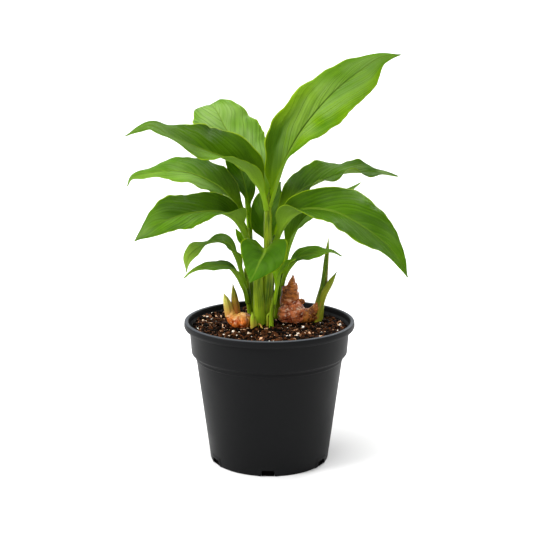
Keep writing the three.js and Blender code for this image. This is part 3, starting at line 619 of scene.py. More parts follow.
def leaf_skin(form, seed, rows, half_columns):
    """Points and marks of a leaf. A point lies on the rib, plus outwards and upwards the running sum of
    the cosine and the sine of the slope, plus its lift along the normal. The slope is the fold angle,
    reached within a few millimetres, less a part of ARCH that grows from rib to margin. The lift is the
    margin's wave, high s² sin(pi u) sin(2 pi (count u + start)), and the pleats and ripples."""
    foot, stalk = form["foot"], form.get("stalk", PETIOLE)
    petiole_rows = max(10, int(rows * foot))
    petiole = foot * np.arange(petiole_rows) / petiole_rows
    t = np.concatenate([petiole, foot + (1 - foot) * np.linspace(0, 1, rows)])
    u = np.clip((t - foot) / (1 - foot), 0, 1)
    v = u[:, None]
    rib, forward, length = walk(form["route"], t)
    side = unit(np.cross(through(form["face"], u, "rest"), forward))
    up = np.cross(forward, side)
    opened = smooth_step(foot * 0.7, foot, t)
    x = np.linspace(-1, 1, 2 * half_columns + 1)
    s = (np.sign(x) * np.abs(x) ** CROWDING)[None, :]
    spread, sign, on_left = np.abs(s), np.sign(s), s > 0

    # half widths, slightly uneven, and the running distance from the rib in mm
    halves = []
    for number, name in enumerate(("right", "left")):
        at = (u * length, 70.0 * number)
        wobble = 1 + UNEVEN[0] * ripples(*at, 0.0, UNEVEN[1], seed, 3)
        wobble = wobble + NOTCHED[0] * ripples(*at, 9.0, NOTCHED[1], seed + 5, 2)
        halves.append((stalk + (values_at(form[name], u) * wobble - stalk) * opened)[:, None])
    half = np.where(on_left, halves[1], halves[0])
    from_rib = half * spread
    fold, cup = (np.radians(values_at(form.get(key, [0, 0]), u))[:, None] for key in ("fold", "cup"))
    slope = fold * (1 - np.exp(-from_rib / FOLD_BEND))
    slope = slope + ARCH * opened[:, None] * (0.5 - spread) * (1 - np.exp(-from_rib / ARCH_BEND))
    slope = slope + np.where(on_left, cup * smooth_step(0.35, 0.6, spread), 0)

    # running sums from the rib to either margin
    outward, upward = np.zeros_like(from_rib), np.zeros_like(from_rib)
    for columns in (np.arange(half_columns, 2 * half_columns + 1), np.arange(half_columns, -1, -1)):
        steps = np.diff(from_rib[:, columns], axis=1)
        turn = (slope[:, columns[1:]] + slope[:, columns[:-1]]) / 2
        outward[:, columns[1:]] = np.cumsum(steps * np.cos(turn), axis=1)
        upward[:, columns[1:]] = np.cumsum(steps * np.sin(turn), axis=1)

    # lift: wave of the margin, pleats along the veins, slow bulges, short waves, a groove on the rib
    high, count, start = form.get("wave", CALM)
    swing = np.sin(2 * math.pi * (count * v + start + np.where(on_left, 0, OTHER_MARGIN_LAG)))
    lift = high * spread**2 * np.sin(math.pi * v) * swing
    vein = length * (1 - foot) / VEIN_GAP * (v - form.get("sweep", VEIN_SWEEP) * spread**1.2)
    vein = vein + 0.2 * ripples(vein, 3.0 * sign, 0.0, 5, seed + 1, 2)
    pleat = np.abs(np.sin(math.pi * vein)) ** 0.7
    depth = 0.55 + 0.6 * ripples(vein, 7.0 * sign, 0.0, 3.1, seed + 4, 2)
    swell = ripples(vein * 0.35, 9.0 * sign, spread, 1.4, seed + 2, 2)
    size = np.sin(math.pi * v) ** 0.7 * np.clip(half / 22, 0.15, 1) * form.get("relief", 1.0)
    body = np.clip(spread * 5, 0, 1) * (1 - 0.4 * spread)
    lift = lift + size * body * (PLEAT * depth * pleat + SWELL * swell)
    lift = lift + size * spread**4 * CRINKLE * ripples(v * length, 40.0 * sign, 0.0, 24, seed + 3, 2)
    groove = np.exp(-((from_rib / 0.7) ** 2)) * smooth_step(-0.02, 0.1, v)
    lift = lift - 0.35 * groove * np.clip(1.15 - v, 0, 1)

    # the upper side, and the lower one that lies under it by the blade's or the midrib's thickness
    out = side[:, None, :] * sign[..., None]
    normal = up[:, None, :] * np.cos(slope)[..., None] - out * np.sin(slope)[..., None]
    top = rib[:, None, :] + out * outward[..., None] + up[:, None, :] * upward[..., None]
    top = top + normal * lift[..., None]
    core = RIB_FOOT + (RIB_TIP - RIB_FOOT) * np.minimum(1, v * 2)
    thick = BLADE + (core - BLADE) * np.exp(-((from_rib / (0.45 * core + 0.35)) ** 2))
    thick[-4:] *= np.linspace(1, 0.4, 4)[:, None]
    under = top - normal * thick[..., None]
    for margin in (0, -1):
        top[:, margin] = (top[:, margin] + under[:, margin]) / 2

    # shade of each half, and of the strip that is cupped up against the light
    shades = np.atleast_2d(form.get("shade", EVEN_SHADE))
    right, left = (values_at(values, u)[:, None] for values in (shades[0], shades[-1]))
    strip = np.where(on_left, smooth_step(0.44, 0.58, spread), 0)
    shade = np.where(on_left, left, right) + CUP_SHADE * cup**2 * strip
    along = np.where(t < foot, t / foot - 1, u)[:, None]
    marks = {}
    for mark, values in zip(LEAF_MARKS, (spread, along, from_rib, sign, vein + seed, 0.0, shade)):
        above = np.broadcast_to(values, from_rib.shape)
        marks[mark] = np.concatenate([above, above[:, -2:0:-1] + (mark == "under")], axis=1)
    return np.concatenate([top, under[:, -2:0:-1]], axis=1), marks


for seed, (name, form) in enumerate(LEAF_FORMS.items(), start=11):
    kind, *size = form["words"]
    ring, marks = leaf_skin(form, seed, *((90, 16) if size else (150, 26)))
    new_piece(f"{name}_skin", ring, f"waxy_leaf_{kind}", "leaf_blade", [name], **marks)

# %% [markdown]
# ## Stems
# A turmeric stem is a roll of leaf sheaths, each wrapped round the next. A plain tube would look like
# pipe. Here the radius follows a roll's cross-section: it grows once round the stem and drops again at
# the sheath's free edge, which winds slowly up. Fine ridges run lengthwise.

# %% Stem material
STALK_MARKS = ("side", "depth", "along", "edge")


def sheath_material(name, green, yellow, edge_brown, base, base_reach):
    """Leaf sheath: satin skin with stripes along it. The mesh gives the place in millimetres from the
    stem's own middle line, and noise that is stretched along the stem makes the stripes. A darker band of
    painted shade runs up the middle of each stem, between its lit sides. Free edges are browned, and the
    foot goes over into the base colour within base_reach, two heights in mm."""
    add, place, side, depth, along, edge = new_material(name, *STALK_MARKS)
    flow = add("CombineXYZ", side, depth, add("Math MULTIPLY", along, 0.035))
    stripe = add("TexNoise", flow, 1, 4, 0.65)
    both = add("Math ADD", stripe, add("TexNoise", place, 40, 2))
    # painted shade: a darker band a little right of each stem's middle line
    off = add("Math ABSOLUTE", add("Math SUBTRACT", side, 0.8))
    both = add("Math ADD", both, add("MapRange", off, 0.3, 2.6, -0.11, 0.03))
    skin = add("Mix", add("MapRange", both, 0.81, 1.19), green, yellow)
    skin = add("Mix", add("MapRange", along, *base_reach, 0.8, 0), skin, base)
    skin = add("Mix", add("MapRange", edge, 0.5, 1, 0, 0.7), skin, edge_brown)
    body = add(
        "BsdfPrincipled", skin, Roughness=0.34, Normal=add("Bump", 0.5, 0.8 * MM, Height=stripe),
        IOR=1.45, Specular_IOR_Level=0.3, Specular_Tint="#dcf0a0",
        Subsurface_Weight=0.12, Subsurface_Scale=2 * MM, Subsurface_Radius=(0.6, 1.0, 0.2),
    )
    add("OutputMaterial", body)


for values in (
    ("leaf_sheath", "#3a5a04", "#889e1a", "#8a7c24", "#8fae22", (14, 34)),
    ("young_sheath", "#6e8c14", "#cfbe62", "#96602c", "#d0924c", (4, 16)),
    ("sprout_sheath", "#7aa01a", "#b4bc3c", "#8a4a1c", "#c08e40", (8, 20)),
    ("browned_sheath", "#3e4c06", "#a8962a", "#6b3a12", "#a85a28", (6, 24)),
    ("spear_sheath", "#2e5006", "#84980e", "#a8702a", "#94962a", (16, 40)),
):
    sheath_material(*values)
print("materials", len(bpy.data.materials))

# %% Skin of a stem, shoot or rhizome
FRONT = -math.pi / 2  # the turn that faces the camera


def stalk_skin(form, rows, columns, relief=None):
    """Rings round a route. A point is the centre plus radius times the cosine of its turn across, and
    the sine outwards. relief is a function of height along in mm and turn that gives millimetres to add
    to the radius, and a dark edge from 0 to 1."""
    t = np.linspace(0, 1, rows)
    centre, forward, length = walk(form["route"], t)
    across = unit(np.cross([0, 1, 0], forward))
    outward = np.cross(forward, across)
    turn = np.arange(columns) * 2 * math.pi / columns
    height, turns = np.meshgrid(t * length, turn, indexing="ij")
    raised, edge = relief(height, turns, length) if relief else (0 * turns, 0 * turns)
    radius = np.maximum(values_at(form["radii"], t), 0.15)[:, None]
    radius = np.maximum(radius + raised * np.clip(radius / 1.5, 0, 1), 0.1)
    side, depth = radius * form.get("flat", 1.0) * np.cos(turns), radius * np.sin(turns)
    ring = centre[:, None] + across[:, None] * side[..., None] + outward[:, None] * depth[..., None]
    return ring, dict(zip(STALK_MARKS, (side, depth, height, edge)))


def rolled(edge_turn, twist, step, ridge, tops=(), edge_width=0.12):
    """The relief of a roll of sheaths: step times the part of a full turn since the free edge, which
    winds by twist radians per mm, and ridges. Above each of tops, a height in mm with the turn that it
    leans to, the roll is thinner by a step. The dried edge is about edge_width radians wide."""

    def relief(height, turn, length):
        since = np.mod(turn - FRONT - edge_turn - twist * height, 2 * math.pi) / (2 * math.pi)
        raised = step * (since - 0.5) + ridge * np.cos(turn * 13 + 0.4 * np.sin(height / 9))
        for top, lean in tops:
            end = top + 4 * np.cos(turn - FRONT - lean)
            raised = raised - 0.45 * smooth_step(-0.5, 0.5, height - end)
        return raised, np.exp(-(((1 - since) * 2 * math.pi / edge_width) ** 2))

    return relief


rod = {"route": [[0, 0, 0], [0, 0, 9]], "radii": [1, 1]}
print("rings, points and numbers of a rod:", stalk_skin(rod, 4, 8)[0].shape)

# %% Stems
# Behind the piece's name stands the model's own piece that it is put in place of. radii run from foot to
# tip, roll is the turn of the free edge from the front in radians, its twist and the step at the edge,
# and tops are where an outer sheath ends: its height in mm, and the side that it ends higher on.
STEMS = """
stem_main_skin stem_main
  route -6 12 110, -4.5 12.5 128, -3 13 146, -1.5 13 164, -1 13 186, -1.5 13 207, -1.3 13 231,
    -0.5 12.5 246, 0 12 257
  radii 5.6 5.6 5.5 5.4 5.1 4.8 4.5 4.3 4.2 4.2 4.3 3.4 0.5
  roll 0.5 -0.004 0.9
  tops 76 0, 118 2
stem_main_sheath_skin stem_main
  route -9 9 112, -8.8 9.5 128, -9.2 10 144, -10 10.5 162, -9 11 178, -6 12 190
  radii 5.8 5.8 5.7 5.5 4.4 2.4
  roll 0.95 -0.002 1
stem_left_skin stem_left
  route -16 26 112, -17 25 125, -19 22 142, -21 18 158, -22 15 172, -23 13 180
  radii 3.2 3 2.7 2.5 2.3 1.2
  roll 0.8 0.01 0.6
stem_back_left_skin stem_back_left
  route -13 35 112, -14 34 127, -17 33 150, -18 32 175, -18 30 199, -19 28 216
  radii 3.4 3.3 3.1 3 2.8 1.4
  roll -0.6 0.008 0.6
stem_back_right_skin stem_back_right
  route -1 30 112, 0 30 126, 1 31 155, 3 31 180, 4 30 199, 5 28 209
  radii 4 4 3.8 3.4 3 1.6
  roll 0.4 -0.006 0.7
stem_right_skin stem_right
  route 8 39 112, 8 38.5 126, 9.5 38 145, 11 36.5 160, 12.5 34.5 176
  radii 3.4 3.3 3 2.8 1.4
  roll -0.3 0.01 0.6
stem_front_skin stem_front
  route 2 1 112, 2 0 123, 2 0 138, 4 -1 153, 5.5 -2 162
  radii 2.4 2.3 2 1.8 1.2
  roll 0.7 0.01 0.5
"""
for name, form in read_forms(STEMS).items():
    ring, marks = stalk_skin(form, 120, 72, rolled(*form["roll"], 0.06, form.get("tops", ())))
    new_piece(name, ring, "leaf_sheath", "stem_sheath", form["words"], **marks)

# %% [markdown]
# ## Rhizomes
# A rhizome grows ring by ring, and each ring keeps the scar of a scale leaf. So its radius swells
# between narrow grooves on the plump parts, and on the old parts grows like a saw, where dry scales
# still stand. The skin is damp and fibrous, orange where it is young and red-brown where it is older.

# %% Rhizome material
def rhizome_material(name, young, old, groove, fleck, crown=None):
    """Rhizome skin: two browns in clouds, dark in the ring grooves, with pale papery fibres that run
    round it. crown gives two heights in mm, between which it goes over to two other colours, mixed darker
    on the left side as painted shade."""
    add, place, side, depth, along, edge = new_material(name, *STALK_MARKS)
    cloud = add("TexNoise", place, 150, 5, 0.6)
    flow = add("VectorMath MULTIPLY", add("CombineXYZ", side, depth, along), (0.35, 0.35, 0.6))
    fibre = add("TexNoise", flow, 0.75, 5, 0.7)
    skin = add("Mix", add("MapRange", cloud, 0.41, 0.59), old, young)
    skin = add("Mix", add("MapRange", fibre, 0.53, 0.66, 0, 0.85), skin, fleck)
    if crown:
        low, high, deep, warm = crown
        height = add("Math MULTIPLY_ADD", cloud, 12 * MM, add("SeparateXYZ", place, out="Z"))
        # painted shade: the crown's colours go darker towards the left side
        patch = add("MapRange", add("Math MULTIPLY_ADD", side, 0.013, fibre), 0.38, 0.62)
        scaly = add("Mix", patch, deep, warm)
        skin = add("Mix", add("MapRange", height, low * MM, high * MM), skin, scaly)
    skin = add("Mix", add("MapRange", edge, 0.2, 0.9, 0, 0.65), skin, groove)
    rough = add("MapRange", cloud, 0.35, 0.65, 0.2, 0.52)
    bump = add("Bump", 0.8, 1.2 * MM, Height=add("Math ADD", fibre, cloud))
    body = add(
        "BsdfPrincipled", skin, Roughness=rough, Normal=bump, IOR=1.45,
        Specular_IOR_Level=0.55, Specular_Tint="#ffe4cc",
    )
    add("OutputMaterial", body)


for values in (
    ("young_rhizome_skin", "#ee7a20", "#a84204", "#662404", "#ffd6a4", (138, 148, "#b8762c", "#deb862")),
    ("old_rhizome_skin", "#da7a46", "#7e3212", "#3c1206", "#ffdcc0", (151, 157, "#4c2004", "#ba6a26")),
    ("dry_scale", "#b06420", "#5c2808", "#2c1002", "#cc9448"),
):
    rhizome_material(*values)
print("materials", len(bpy.data.materials))

# %% Rhizomes
def ringed(rings, groove, scaly, broken, seed):
    """The relief of a ringed rhizome. Between grooves it swells as the square root of a sine, and where
    it is scaly it grows along each ring and drops at its end. The rings lean and are ragged, and
    ripples a few millimetres long roughen it. broken gives a height in mm above which the left side has
    lost its outer scales, and how thick those were."""

    def relief(height, turn, length):
        x, y = 8 * np.cos(turn), 8 * np.sin(turn)
        lean = (1 + 1.6 * scaly) * np.sin(turn + seed)
        ragged = (0.7 + 0.9 * scaly) * ripples(x, y, 0.0, 9, seed + 1, 3)
        phase = (height + lean + ragged) / length * rings
        swell = np.abs(np.sin(math.pi * phase)) ** 0.5
        part = np.mod(phase, 1.0)
        saw = part**0.7 * (1 - smooth_step(0.93, 1.0, part))
        rough = 0.4 * ripples(x, y, height, 7, seed, 3)
        frill = 0.15 * np.clip(np.cos(turn * 9 + seed + 5 * np.sin(turn * 2)), 0, 1)
        frill = frill * np.exp(-(((swell - 0.55) / 0.15) ** 2))
        raised = groove * ((1 - scaly) * (swell - 0.75) + scaly * (1.3 * saw - 0.6)) + rough + frill
        if broken is not None:
            low, loss = broken
            lost = smooth_step(-0.5, 0.6, height - low - 0.6 * rough)
            left = np.clip(0.35 - np.cos(turn), 0, 1)
            raised = raised - loss * lost * left * (1 - 0.4 * (height - low) / (length - low))
        scale_edge = np.exp(-(((part - 0.04) / 0.05) ** 2))
        return raised, (1 - scaly) * np.clip(1 - swell, 0, 1) ** 2 + scaly * scale_edge

    return relief


# Behind the name stand the model's piece, the material and the slot. rings are their number, how deep
# the grooves are in mm, and how scaly the skin is, from 0 to 1.
RHIZOMES = """
rhizome_left_skin rhizome_left young_rhizome_skin rhizome_skin
  route -18.5 6 128.5, -24 5 130.5, -30 4.5 131.5, -35 5 135, -37.3 5.5 141.5
  radii 4 7.6 8.4 7.8 6.4 5.2 3.4
  rings 5 0.6 0.35
rhizome_left_end_scale rhizome_left dry_scale rhizome_skin
  route -24 5 130.6, -21 5.5 130.2, -18 6 129
  radii 7.6 8.1 7.3 5.4 2.8
  rings 2 0.6 1
rhizome_right_cone rhizome_right old_rhizome_skin rhizome_skin_red
  route 21 26 114, 21 26 134, 20 26 146, 20 26 158, 22 26 171
  radii 8 9.6 10 9.8 8.6 6.4 0.8
  rings 6 1.3 0.8
  broken 45.4 3.6
rhizome_right_bulb_left rhizome_right old_rhizome_skin rhizome_skin_red
  route 15 21.5 124, 15.5 21 134, 16.5 22 143
  radii 4 6.6 7.2 6.6 3.6
  rings 3 0.9 0
rhizome_right_bulb_right rhizome_right old_rhizome_skin rhizome_skin_red
  route 26.5 21 124, 26.5 20.5 135, 25 22 146
  radii 4.5 7.2 7.8 7 3.4
  rings 3 0.9 0
rhizome_right_finger rhizome_right dry_scale rhizome_skin_red
  route 22 25 127, 32 23 130, 40 22 132, 47 22 130
  radii 7 7.3 7.2 4.5
  rings 5 0.8 0.5
rhizome_right_stub rhizome_right dry_scale rhizome_skin_red
  route 26 25 144, 30 24.5 145, 34 24 146
  radii 2.8 2.7 2.6 1.6
  rings 2 0.5 0.8
shoot_right_scale rhizome_right dry_scale rhizome_skin_red
  route 38 21 131, 42 19.5 137, 44.5 19 142, 46 19 147
  radii 6 5 3.4 0.3
  rings 2 0.3 0.5
"""
for name, form in read_forms(RHIZOMES).items():
    node_name, look, slot = form["words"]
    ring, marks = stalk_skin(form, 130, 84, ringed(*form["rings"], form.get("broken"), len(name)))
    new_piece(name, ring, look, slot, [node_name], **marks)

# %% [markdown]
# ## Shoots
# New shoots come up as pointed spears, wrapped in a pale sheath. They are made as the stems are, with
# fainter ridges, a wide browned edge and a point that closes on itself. edge is the turn of the free
# edge from the front, and flat how wide one is for its depth.

# %% Shoots
SHOOTS = """
shoot_left_short_skin shoot_left_short young_sheath
  route -37 5.5 136, -38.5 6 144, -40.5 6 151, -43 5 158.5
  radii 4.6 4.4 3.1 0.2
  edge 0.3
shoot_left_tall_skin shoot_left_tall browned_sheath
  route -31.5 7.5 133, -32 8.5 145, -33 9 155, -34.5 9.5 167
  radii 4.9 4.1 2.9 0.2
  edge 0.5
shoot_right_spear shoot_right spear_sheath
  route 46 22 117, 48 22 142, 52 22 162, 54 22 184, 56 22 208
  radii 4.8 4.9 4.9 4.2 3.5 2.9 2.5 1.7 0.2
  edge -0.2
shoot_right_side_leaf shoot_right spear_sheath
  route 49 21 142, 52 19.5 154, 57 17.5 164, 64 15 177
  radii 3 3.6 2.9 0.2
  edge 1.3
  flat 0.9
sprout_front_left_tall sprout_front_left sprout_sheath
  route -15 -1 116, -15.4 -1 130, -16.2 -1 141
  radii 1.8 2.3 2.6 2.3 0.5
  edge 0.6
sprout_front_left_short sprout_front_left sprout_sheath
  route -14 -1.5 116, -13.4 -1.5 130, -13 -1.5 137
  radii 1.6 1.8 1.7 0.4
  edge -0.4
sprout_front_right_hook sprout_front_right sprout_sheath
  route -1 4 116, -1.2 4 128, -1.5 3.5 136, 0.5 2.5 139.5
  radii 1.7 1.6 1.3 0.7
  edge 0
"""
for name, form in read_forms(SHOOTS).items():
    node_name, look = form["words"]
    ring, marks = stalk_skin(form, 90, 48, rolled(form["edge"], 0.015, 0.6, 0.04, edge_width=0.4))
    new_piece(name, ring, look, "shoot_sheath", [node_name], **marks)

curl = {"route": [[-11, 1, 129], [-9, 0, 129], [-7.5, -1.5, 127], [-6, -3, 124.5]]}
curl["radii"] = [0.5, 0.8, 0.8, 0.7]
ring, marks = stalk_skin(curl, 24, 16)
new_piece("root_curl", ring, "young_sheath", "shoot_sheath", **marks)

# %% [markdown]
# ## Potting mix
# The mix is dark peat with splinters of bark and white perlite. A displaced disc alone looks like clay,
# so thousands of small solids lie on it. They share one small shape, a twenty-sided one, that is
# stretched, turned and roughened for each by a seeded draw, and they stay one mesh for each material.

# %% Mix materials
def crumb_material(name, stops, rough, grain_mm, glint):
    """Broken organic matter: each crumb carries its own tone, and a fine grain mottles it. glint is how
    much of the light it mirrors."""
    add, place, tone = new_material(name, "tone")
    grain = add("TexNoise", place, 1 / (grain_mm * MM), 3)
    at = add("Math ADD", tone, add("MapRange", grain, 0.3, 0.7, -0.18, 0.18))
    body = add(
        "BsdfPrincipled", add("ValToRGB", at, stops=stops), Roughness=rough, IOR=1.4,
        Normal=add("Bump", 0.6, 0.5 * MM, Height=grain), Specular_IOR_Level=glint,
    )
    add("OutputMaterial", body)


for values in (
    ("damp_peat", [(0, "#030201"), (0.55, "#120803"), (1, "#4e2c14")], 0.6, 1.2, 0.04),
    ("bark_splinter", [(0, "#1c0b03"), (0.6, "#6c3e1f"), (1, "#e4b68e")], 0.5, 1.0, 0.12),
    ("perlite", [(0, "#b8906e"), (0.45, "#e2d2bc"), (1, "#fcf9f2")], 0.8, 0.8, 0.2),
):
    crumb_material(*values)
print("materials", len(bpy.data.materials))

# %% Mix surface
MIX_TOP, MIX_RADIUS = 124.5, 72.6  # mm
MOUND, MOUND_REACH = 1.0, 30  # mm, how much higher the mix is round the stems, and how far out
BANK, BANK_REACH, BANK_LEAN = 5.0, 75, 0.3  # mm, mm from the axis, and part by which the left is higher
LUMP, LUMP_SIZE = 1.1, 14  # mm


def mix_height(x, y):
    """The surface of the mix: ripples a few mm long, a little higher round the stems, and a bank that
    grows with the third power of the distance and is higher on the left."""
    mound = MOUND * np.exp(-(x * x + y * y) / MOUND_REACH**2)
    bank = BANK * (np.hypot(x, y) / BANK_REACH) ** 3 * (1 - BANK_LEAN * x / BANK_REACH)
    return MIX_TOP - 0.8 + mound + bank + LUMP * ripples(x, y, 0.0, LUMP_SIZE, 5, 4)


def mix_skin(rings=110, columns=220):
    """Rings from the middle of the underside out, up the wall and back in over the rippled surface."""
    wall = np.array([[0.5, 2.6], [54.5, 2.6], [66.9, 97], [71.0, 104], [MIX_RADIUS, MIX_TOP - 1.2]])
    radius = np.concatenate([wall[:, 0], np.linspace(MIX_RADIUS + 0.3, 0.2, rings)])
    ring = turned(radius[:, None], 0, columns)
    ring[..., 2] = mix_height(ring[..., 0], ring[..., 1])
    ring[: len(wall), :, 2] = wall[:, 1:]
    return ring


ground = mix_skin()
tone = 0.2 * ripples(*np.moveaxis(ground, -1, 0), 6, 8, 3)
new_piece("mix_bed", ground, "damp_peat", "potting_mix", ["potting_mix"], tone=tone)

# %% Crumbs, splinters and perlite
# the twelve corners of a twenty-sided solid are those of three crossed rectangles with golden sides
GOLDEN = (1 + 5**0.5) / 2
rectangle = [[-1, GOLDEN, 0], [1, GOLDEN, 0], [-1, -GOLDEN, 0], [1, -GOLDEN, 0]]
CRUMB_POINTS = unit(np.concatenate([np.roll(rectangle, shift, axis=1) for shift in range(3)]))
CORNERS = len(CRUMB_POINTS)
CRUMB_FACES = np.array([
    [0, 11, 5], [0, 5, 1], [0, 1, 7], [0, 7, 10], [0, 10, 11], [1, 5, 9], [5, 11, 4], [11, 10, 2],
    [10, 7, 6], [7, 1, 8], [3, 9, 4], [3, 4, 2], [3, 2, 6], [3, 6, 8], [3, 8, 9], [4, 9, 5], [2, 4, 11],
    [6, 2, 10], [8, 6, 7], [9, 8, 1],
])


def scatter(name, look, count, sizes, stretch, sink, seed, rough=0.25, reach=70.5, tones=(0.0, 1.0)):
    """Copies of the twenty-sided crumb, spread evenly over the mix. sizes are the least and the most
    half length in mm, and small ones are commoner. stretch is the shape, long, wide and thick. Each is
    turned about all axes, roughened, and sunk into the surface by a part of its size."""
    draw = np.random.default_rng(seed)
    size = sizes[0] + (sizes[1] - sizes[0]) * draw.random(count) ** 2.2
    shape = np.array(stretch) * (1 + 0.3 * draw.uniform(-1, 1, (count, 3)))
    points = CRUMB_POINTS[None] * (1 + rough * draw.uniform(-1, 1, (count, CORNERS, 1)))
    points = points * (shape * size[:, None])[:, None, :]
    heading = draw.uniform(0, 2 * math.pi, count)
    tilt, roll = draw.normal(0, 0.35, count), draw.normal(0, 0.6, count)
    ca, sa, cb, sb, cc, sc = (f(v) for v in (heading, tilt, roll) for f in (np.cos, np.sin))
    rows = [
        (ca * cb, ca * sb * sc - sa * cc, ca * sb * cc + sa * sc),
        (sa * cb, sa * sb * sc + ca * cc, sa * sb * cc - ca * sc),
        (-sb, cb * sc, cb * cc),
    ]
    points = np.einsum("ijn,nkj->nki", np.array(rows), points)
    radius, angle = reach * np.sqrt(draw.random(count)), draw.uniform(0, 2 * math.pi, count)
    x, y = radius * np.cos(angle), radius * np.sin(angle)
    z = mix_height(x, y) + size * shape[:, 2] * (1 - 2 * sink)
    points = points + np.stack([x, y, z], -1)[:, None, :]
    faces = (CRUMB_FACES[None] + CORNERS * np.arange(count)[:, None, None]).reshape(-1, 3).tolist()
    tone = np.repeat(draw.uniform(*tones, count), CORNERS)
    new_piece(name, points, look, "potting_mix", faces=faces, tone=tone)


scatter("mix_crumbs", "damp_peat", 4600, (0.6, 2.4), (1.2, 0.9, 0.8), 0.25, 21)
scatter("mix_bark", "bark_splinter", 2000, (0.6, 3.0), (1.3, 0.6, 0.4), 0.25, 22, tones=(-0.1, 1.0))
scatter("mix_perlite", "perlite", 290, (0.6, 1.9), (1.1, 0.9, 0.8), 0.2, 31, 0.12)

# %% Mix behind the drain holes
NOTCHES = 6
NOTCH_TURN = math.radians(-1.5)
NOTCH_FOOT, NOTCH_TOP, NOTCH_HEIGHT = 13.5, 10.8, 6.0  # widths below and above, and height, in mm
BLOCK_FACES = np.array(
    [[3, 2, 1, 0], [4, 5, 6, 7], [0, 1, 5, 4], [1, 2, 6, 5], [2, 3, 7, 6], [3, 0, 4, 7]]
)


def notch_blocks(widths, heights, inner, outer):
    """Points and faces of six blocks, one in each notch of the pot. widths, heights and outer, how far
    from the axis the front lies, each have a number for the lower side and one for the upper. The eight
    corners are turned round the axis by a sixth for each block."""
    lower, upper = zip(widths, heights, outer)
    corners = []
    for inside in (True, False):
        for sign, (width, height, reach) in ((-1, lower), (1, lower), (1, upper), (-1, upper)):
            corners.append((sign * width / 2, -inner if inside else -reach, height))
    x, y, z = np.array(corners).T
    angle = NOTCH_TURN + np.arange(NOTCHES)[:, None] * 2 * math.pi / NOTCHES
    points = [x * np.cos(angle) - y * np.sin(angle), x * np.sin(angle) + y * np.cos(angle), z + 0 * angle]
    faces = BLOCK_FACES[None] + 8 * np.arange(NOTCHES)[:, None, None]
    return np.stack(points, -1).reshape(-1, 3), faces.reshape(-1, 4).tolist()


# the mix nearly fills each hole, and its front leans back as it rises; its tone lies below the darkest
# stop, so it shows the darkest peat colour throughout, as painted shade
points, faces = notch_blocks((11.4, 11.4), (0.1, 5.9), 44.0, (55.5, 50.0))
tone = np.full(len(points), -0.2)
new_piece("mix_in_drain_holes", points, "damp_peat", "potting_mix", faces=faces, tone=tone)

# %% [markdown]
# ## Pot
# A nursery pot is injection-moulded polypropylene: a satin black skin with rounded edges everywhere. Its
# profile is drawn once, its corners are rounded, and it is turned round the axis. Six notches are cut
# through the foot by a Boolean, and a low frame stands round each.

# %% Pot material
def polypropylene():
    """Moulded polypropylene, near black: satin, from the fine spark-eroded grain of the mould, and
    painted lighter grey on what faces up, a painted highlight of the light from above. The real grain,
    about
    0.1 mm, is too fine to show, so this one has 0.6 mm."""
    add, place = new_material("black_polypropylene")
    cloud = add("TexNoise", place, 18, 3)
    facing = add("SeparateXYZ", add("NewGeometry", out="Normal"), out="Z")
    # painted highlight: faces that look up are mixed towards grey
    painted_top_highlight = add("MapRange", facing, 0.45, 0.95, 0, 0.75)
    skin = add("Mix", painted_top_highlight, add("Mix", cloud, "#060607", "#0d0e0f"), "#4a4e54")
    body = add(
        "BsdfPrincipled", skin, Roughness=add("MapRange", cloud, 0.3, 0.7, 0.42, 0.55), IOR=1.49,
        Normal=add("Bump", 0.25, 0.2 * MM, Height=add("TexNoise", place, 1600, 2)),
        Specular_IOR_Level=0.1,
    )
    add("OutputMaterial", body)


polypropylene()
print("pot material", bpy.data.materials["black_polypropylene"].name)

# %% Pot
FOOT_RADIUS = 56.2  # mm
WALL_SLOPE = 0.13  # mm outwards for each mm up
WALL, FLOOR = 1.6, 2.2  # how thick they are in mm


def wall_radius(z):
    """Outer radius of the wall at a height: the foot's, plus the slope times the height."""
    return FOOT_RADIUS + WALL_SLOPE * z


# corners of the profile as radius, height and the radius that rounds them, from the middle below
POT_CORNERS = [
    (1, 0.0, 0), (FOOT_RADIUS, 0.0, 1.2), (wall_radius(97.6), 97.6, 0.6),
    (wall_radius(98) + 0.7, 98.3, 0.5), (wall_radius(99.2) + 0.5, 99.4, 0.5),
    (wall_radius(101), 101, 0.8), (wall_radius(102) + 0.6, 102.6, 0.8), (73.2, 103.4, 1.6),
    (75.0, 127.0, 0.7), (79.2, 127.4, 0.8), (80.0, 129.5, 1.6), (79.7, 134.0, 1.7),
    (76.0, 134.0, 1.5), (75.3, 129.0, 1.5), (75.0 - WALL, 126.0, 1.5), (73.2 - WALL, 104.0, 1.0),
    (wall_radius(97) - WALL, 97.0, 1.0), (wall_radius(FLOOR) - WALL, FLOOR, 1.0), (1, FLOOR, 0),
]
ARC_POINTS = 6  # on each rounded corner
RING_GAP = 3.6  # mm between two rings on a straight stretch
FRAME_HEIGHT, FRAME_WIDTH, FRAME_FADE = 0.5, 2.0, 2.8  # mm, of the frame round a notch
FRAME_TOP, FRAME_PARTS = 14, 5  # below this height in mm each stretch of the wall is cut in five


def divided(line, parts_of):
    """The line with each stretch from a to b in as many equal parts as parts_of gives for it."""
    points = []
    for a, b in zip(line[:-1], line[1:]):
        parts = parts_of(a, b)
        points.extend(a + (b - a) * (np.arange(parts) / parts)[:, None])
    return np.array([*points, line[-1]])


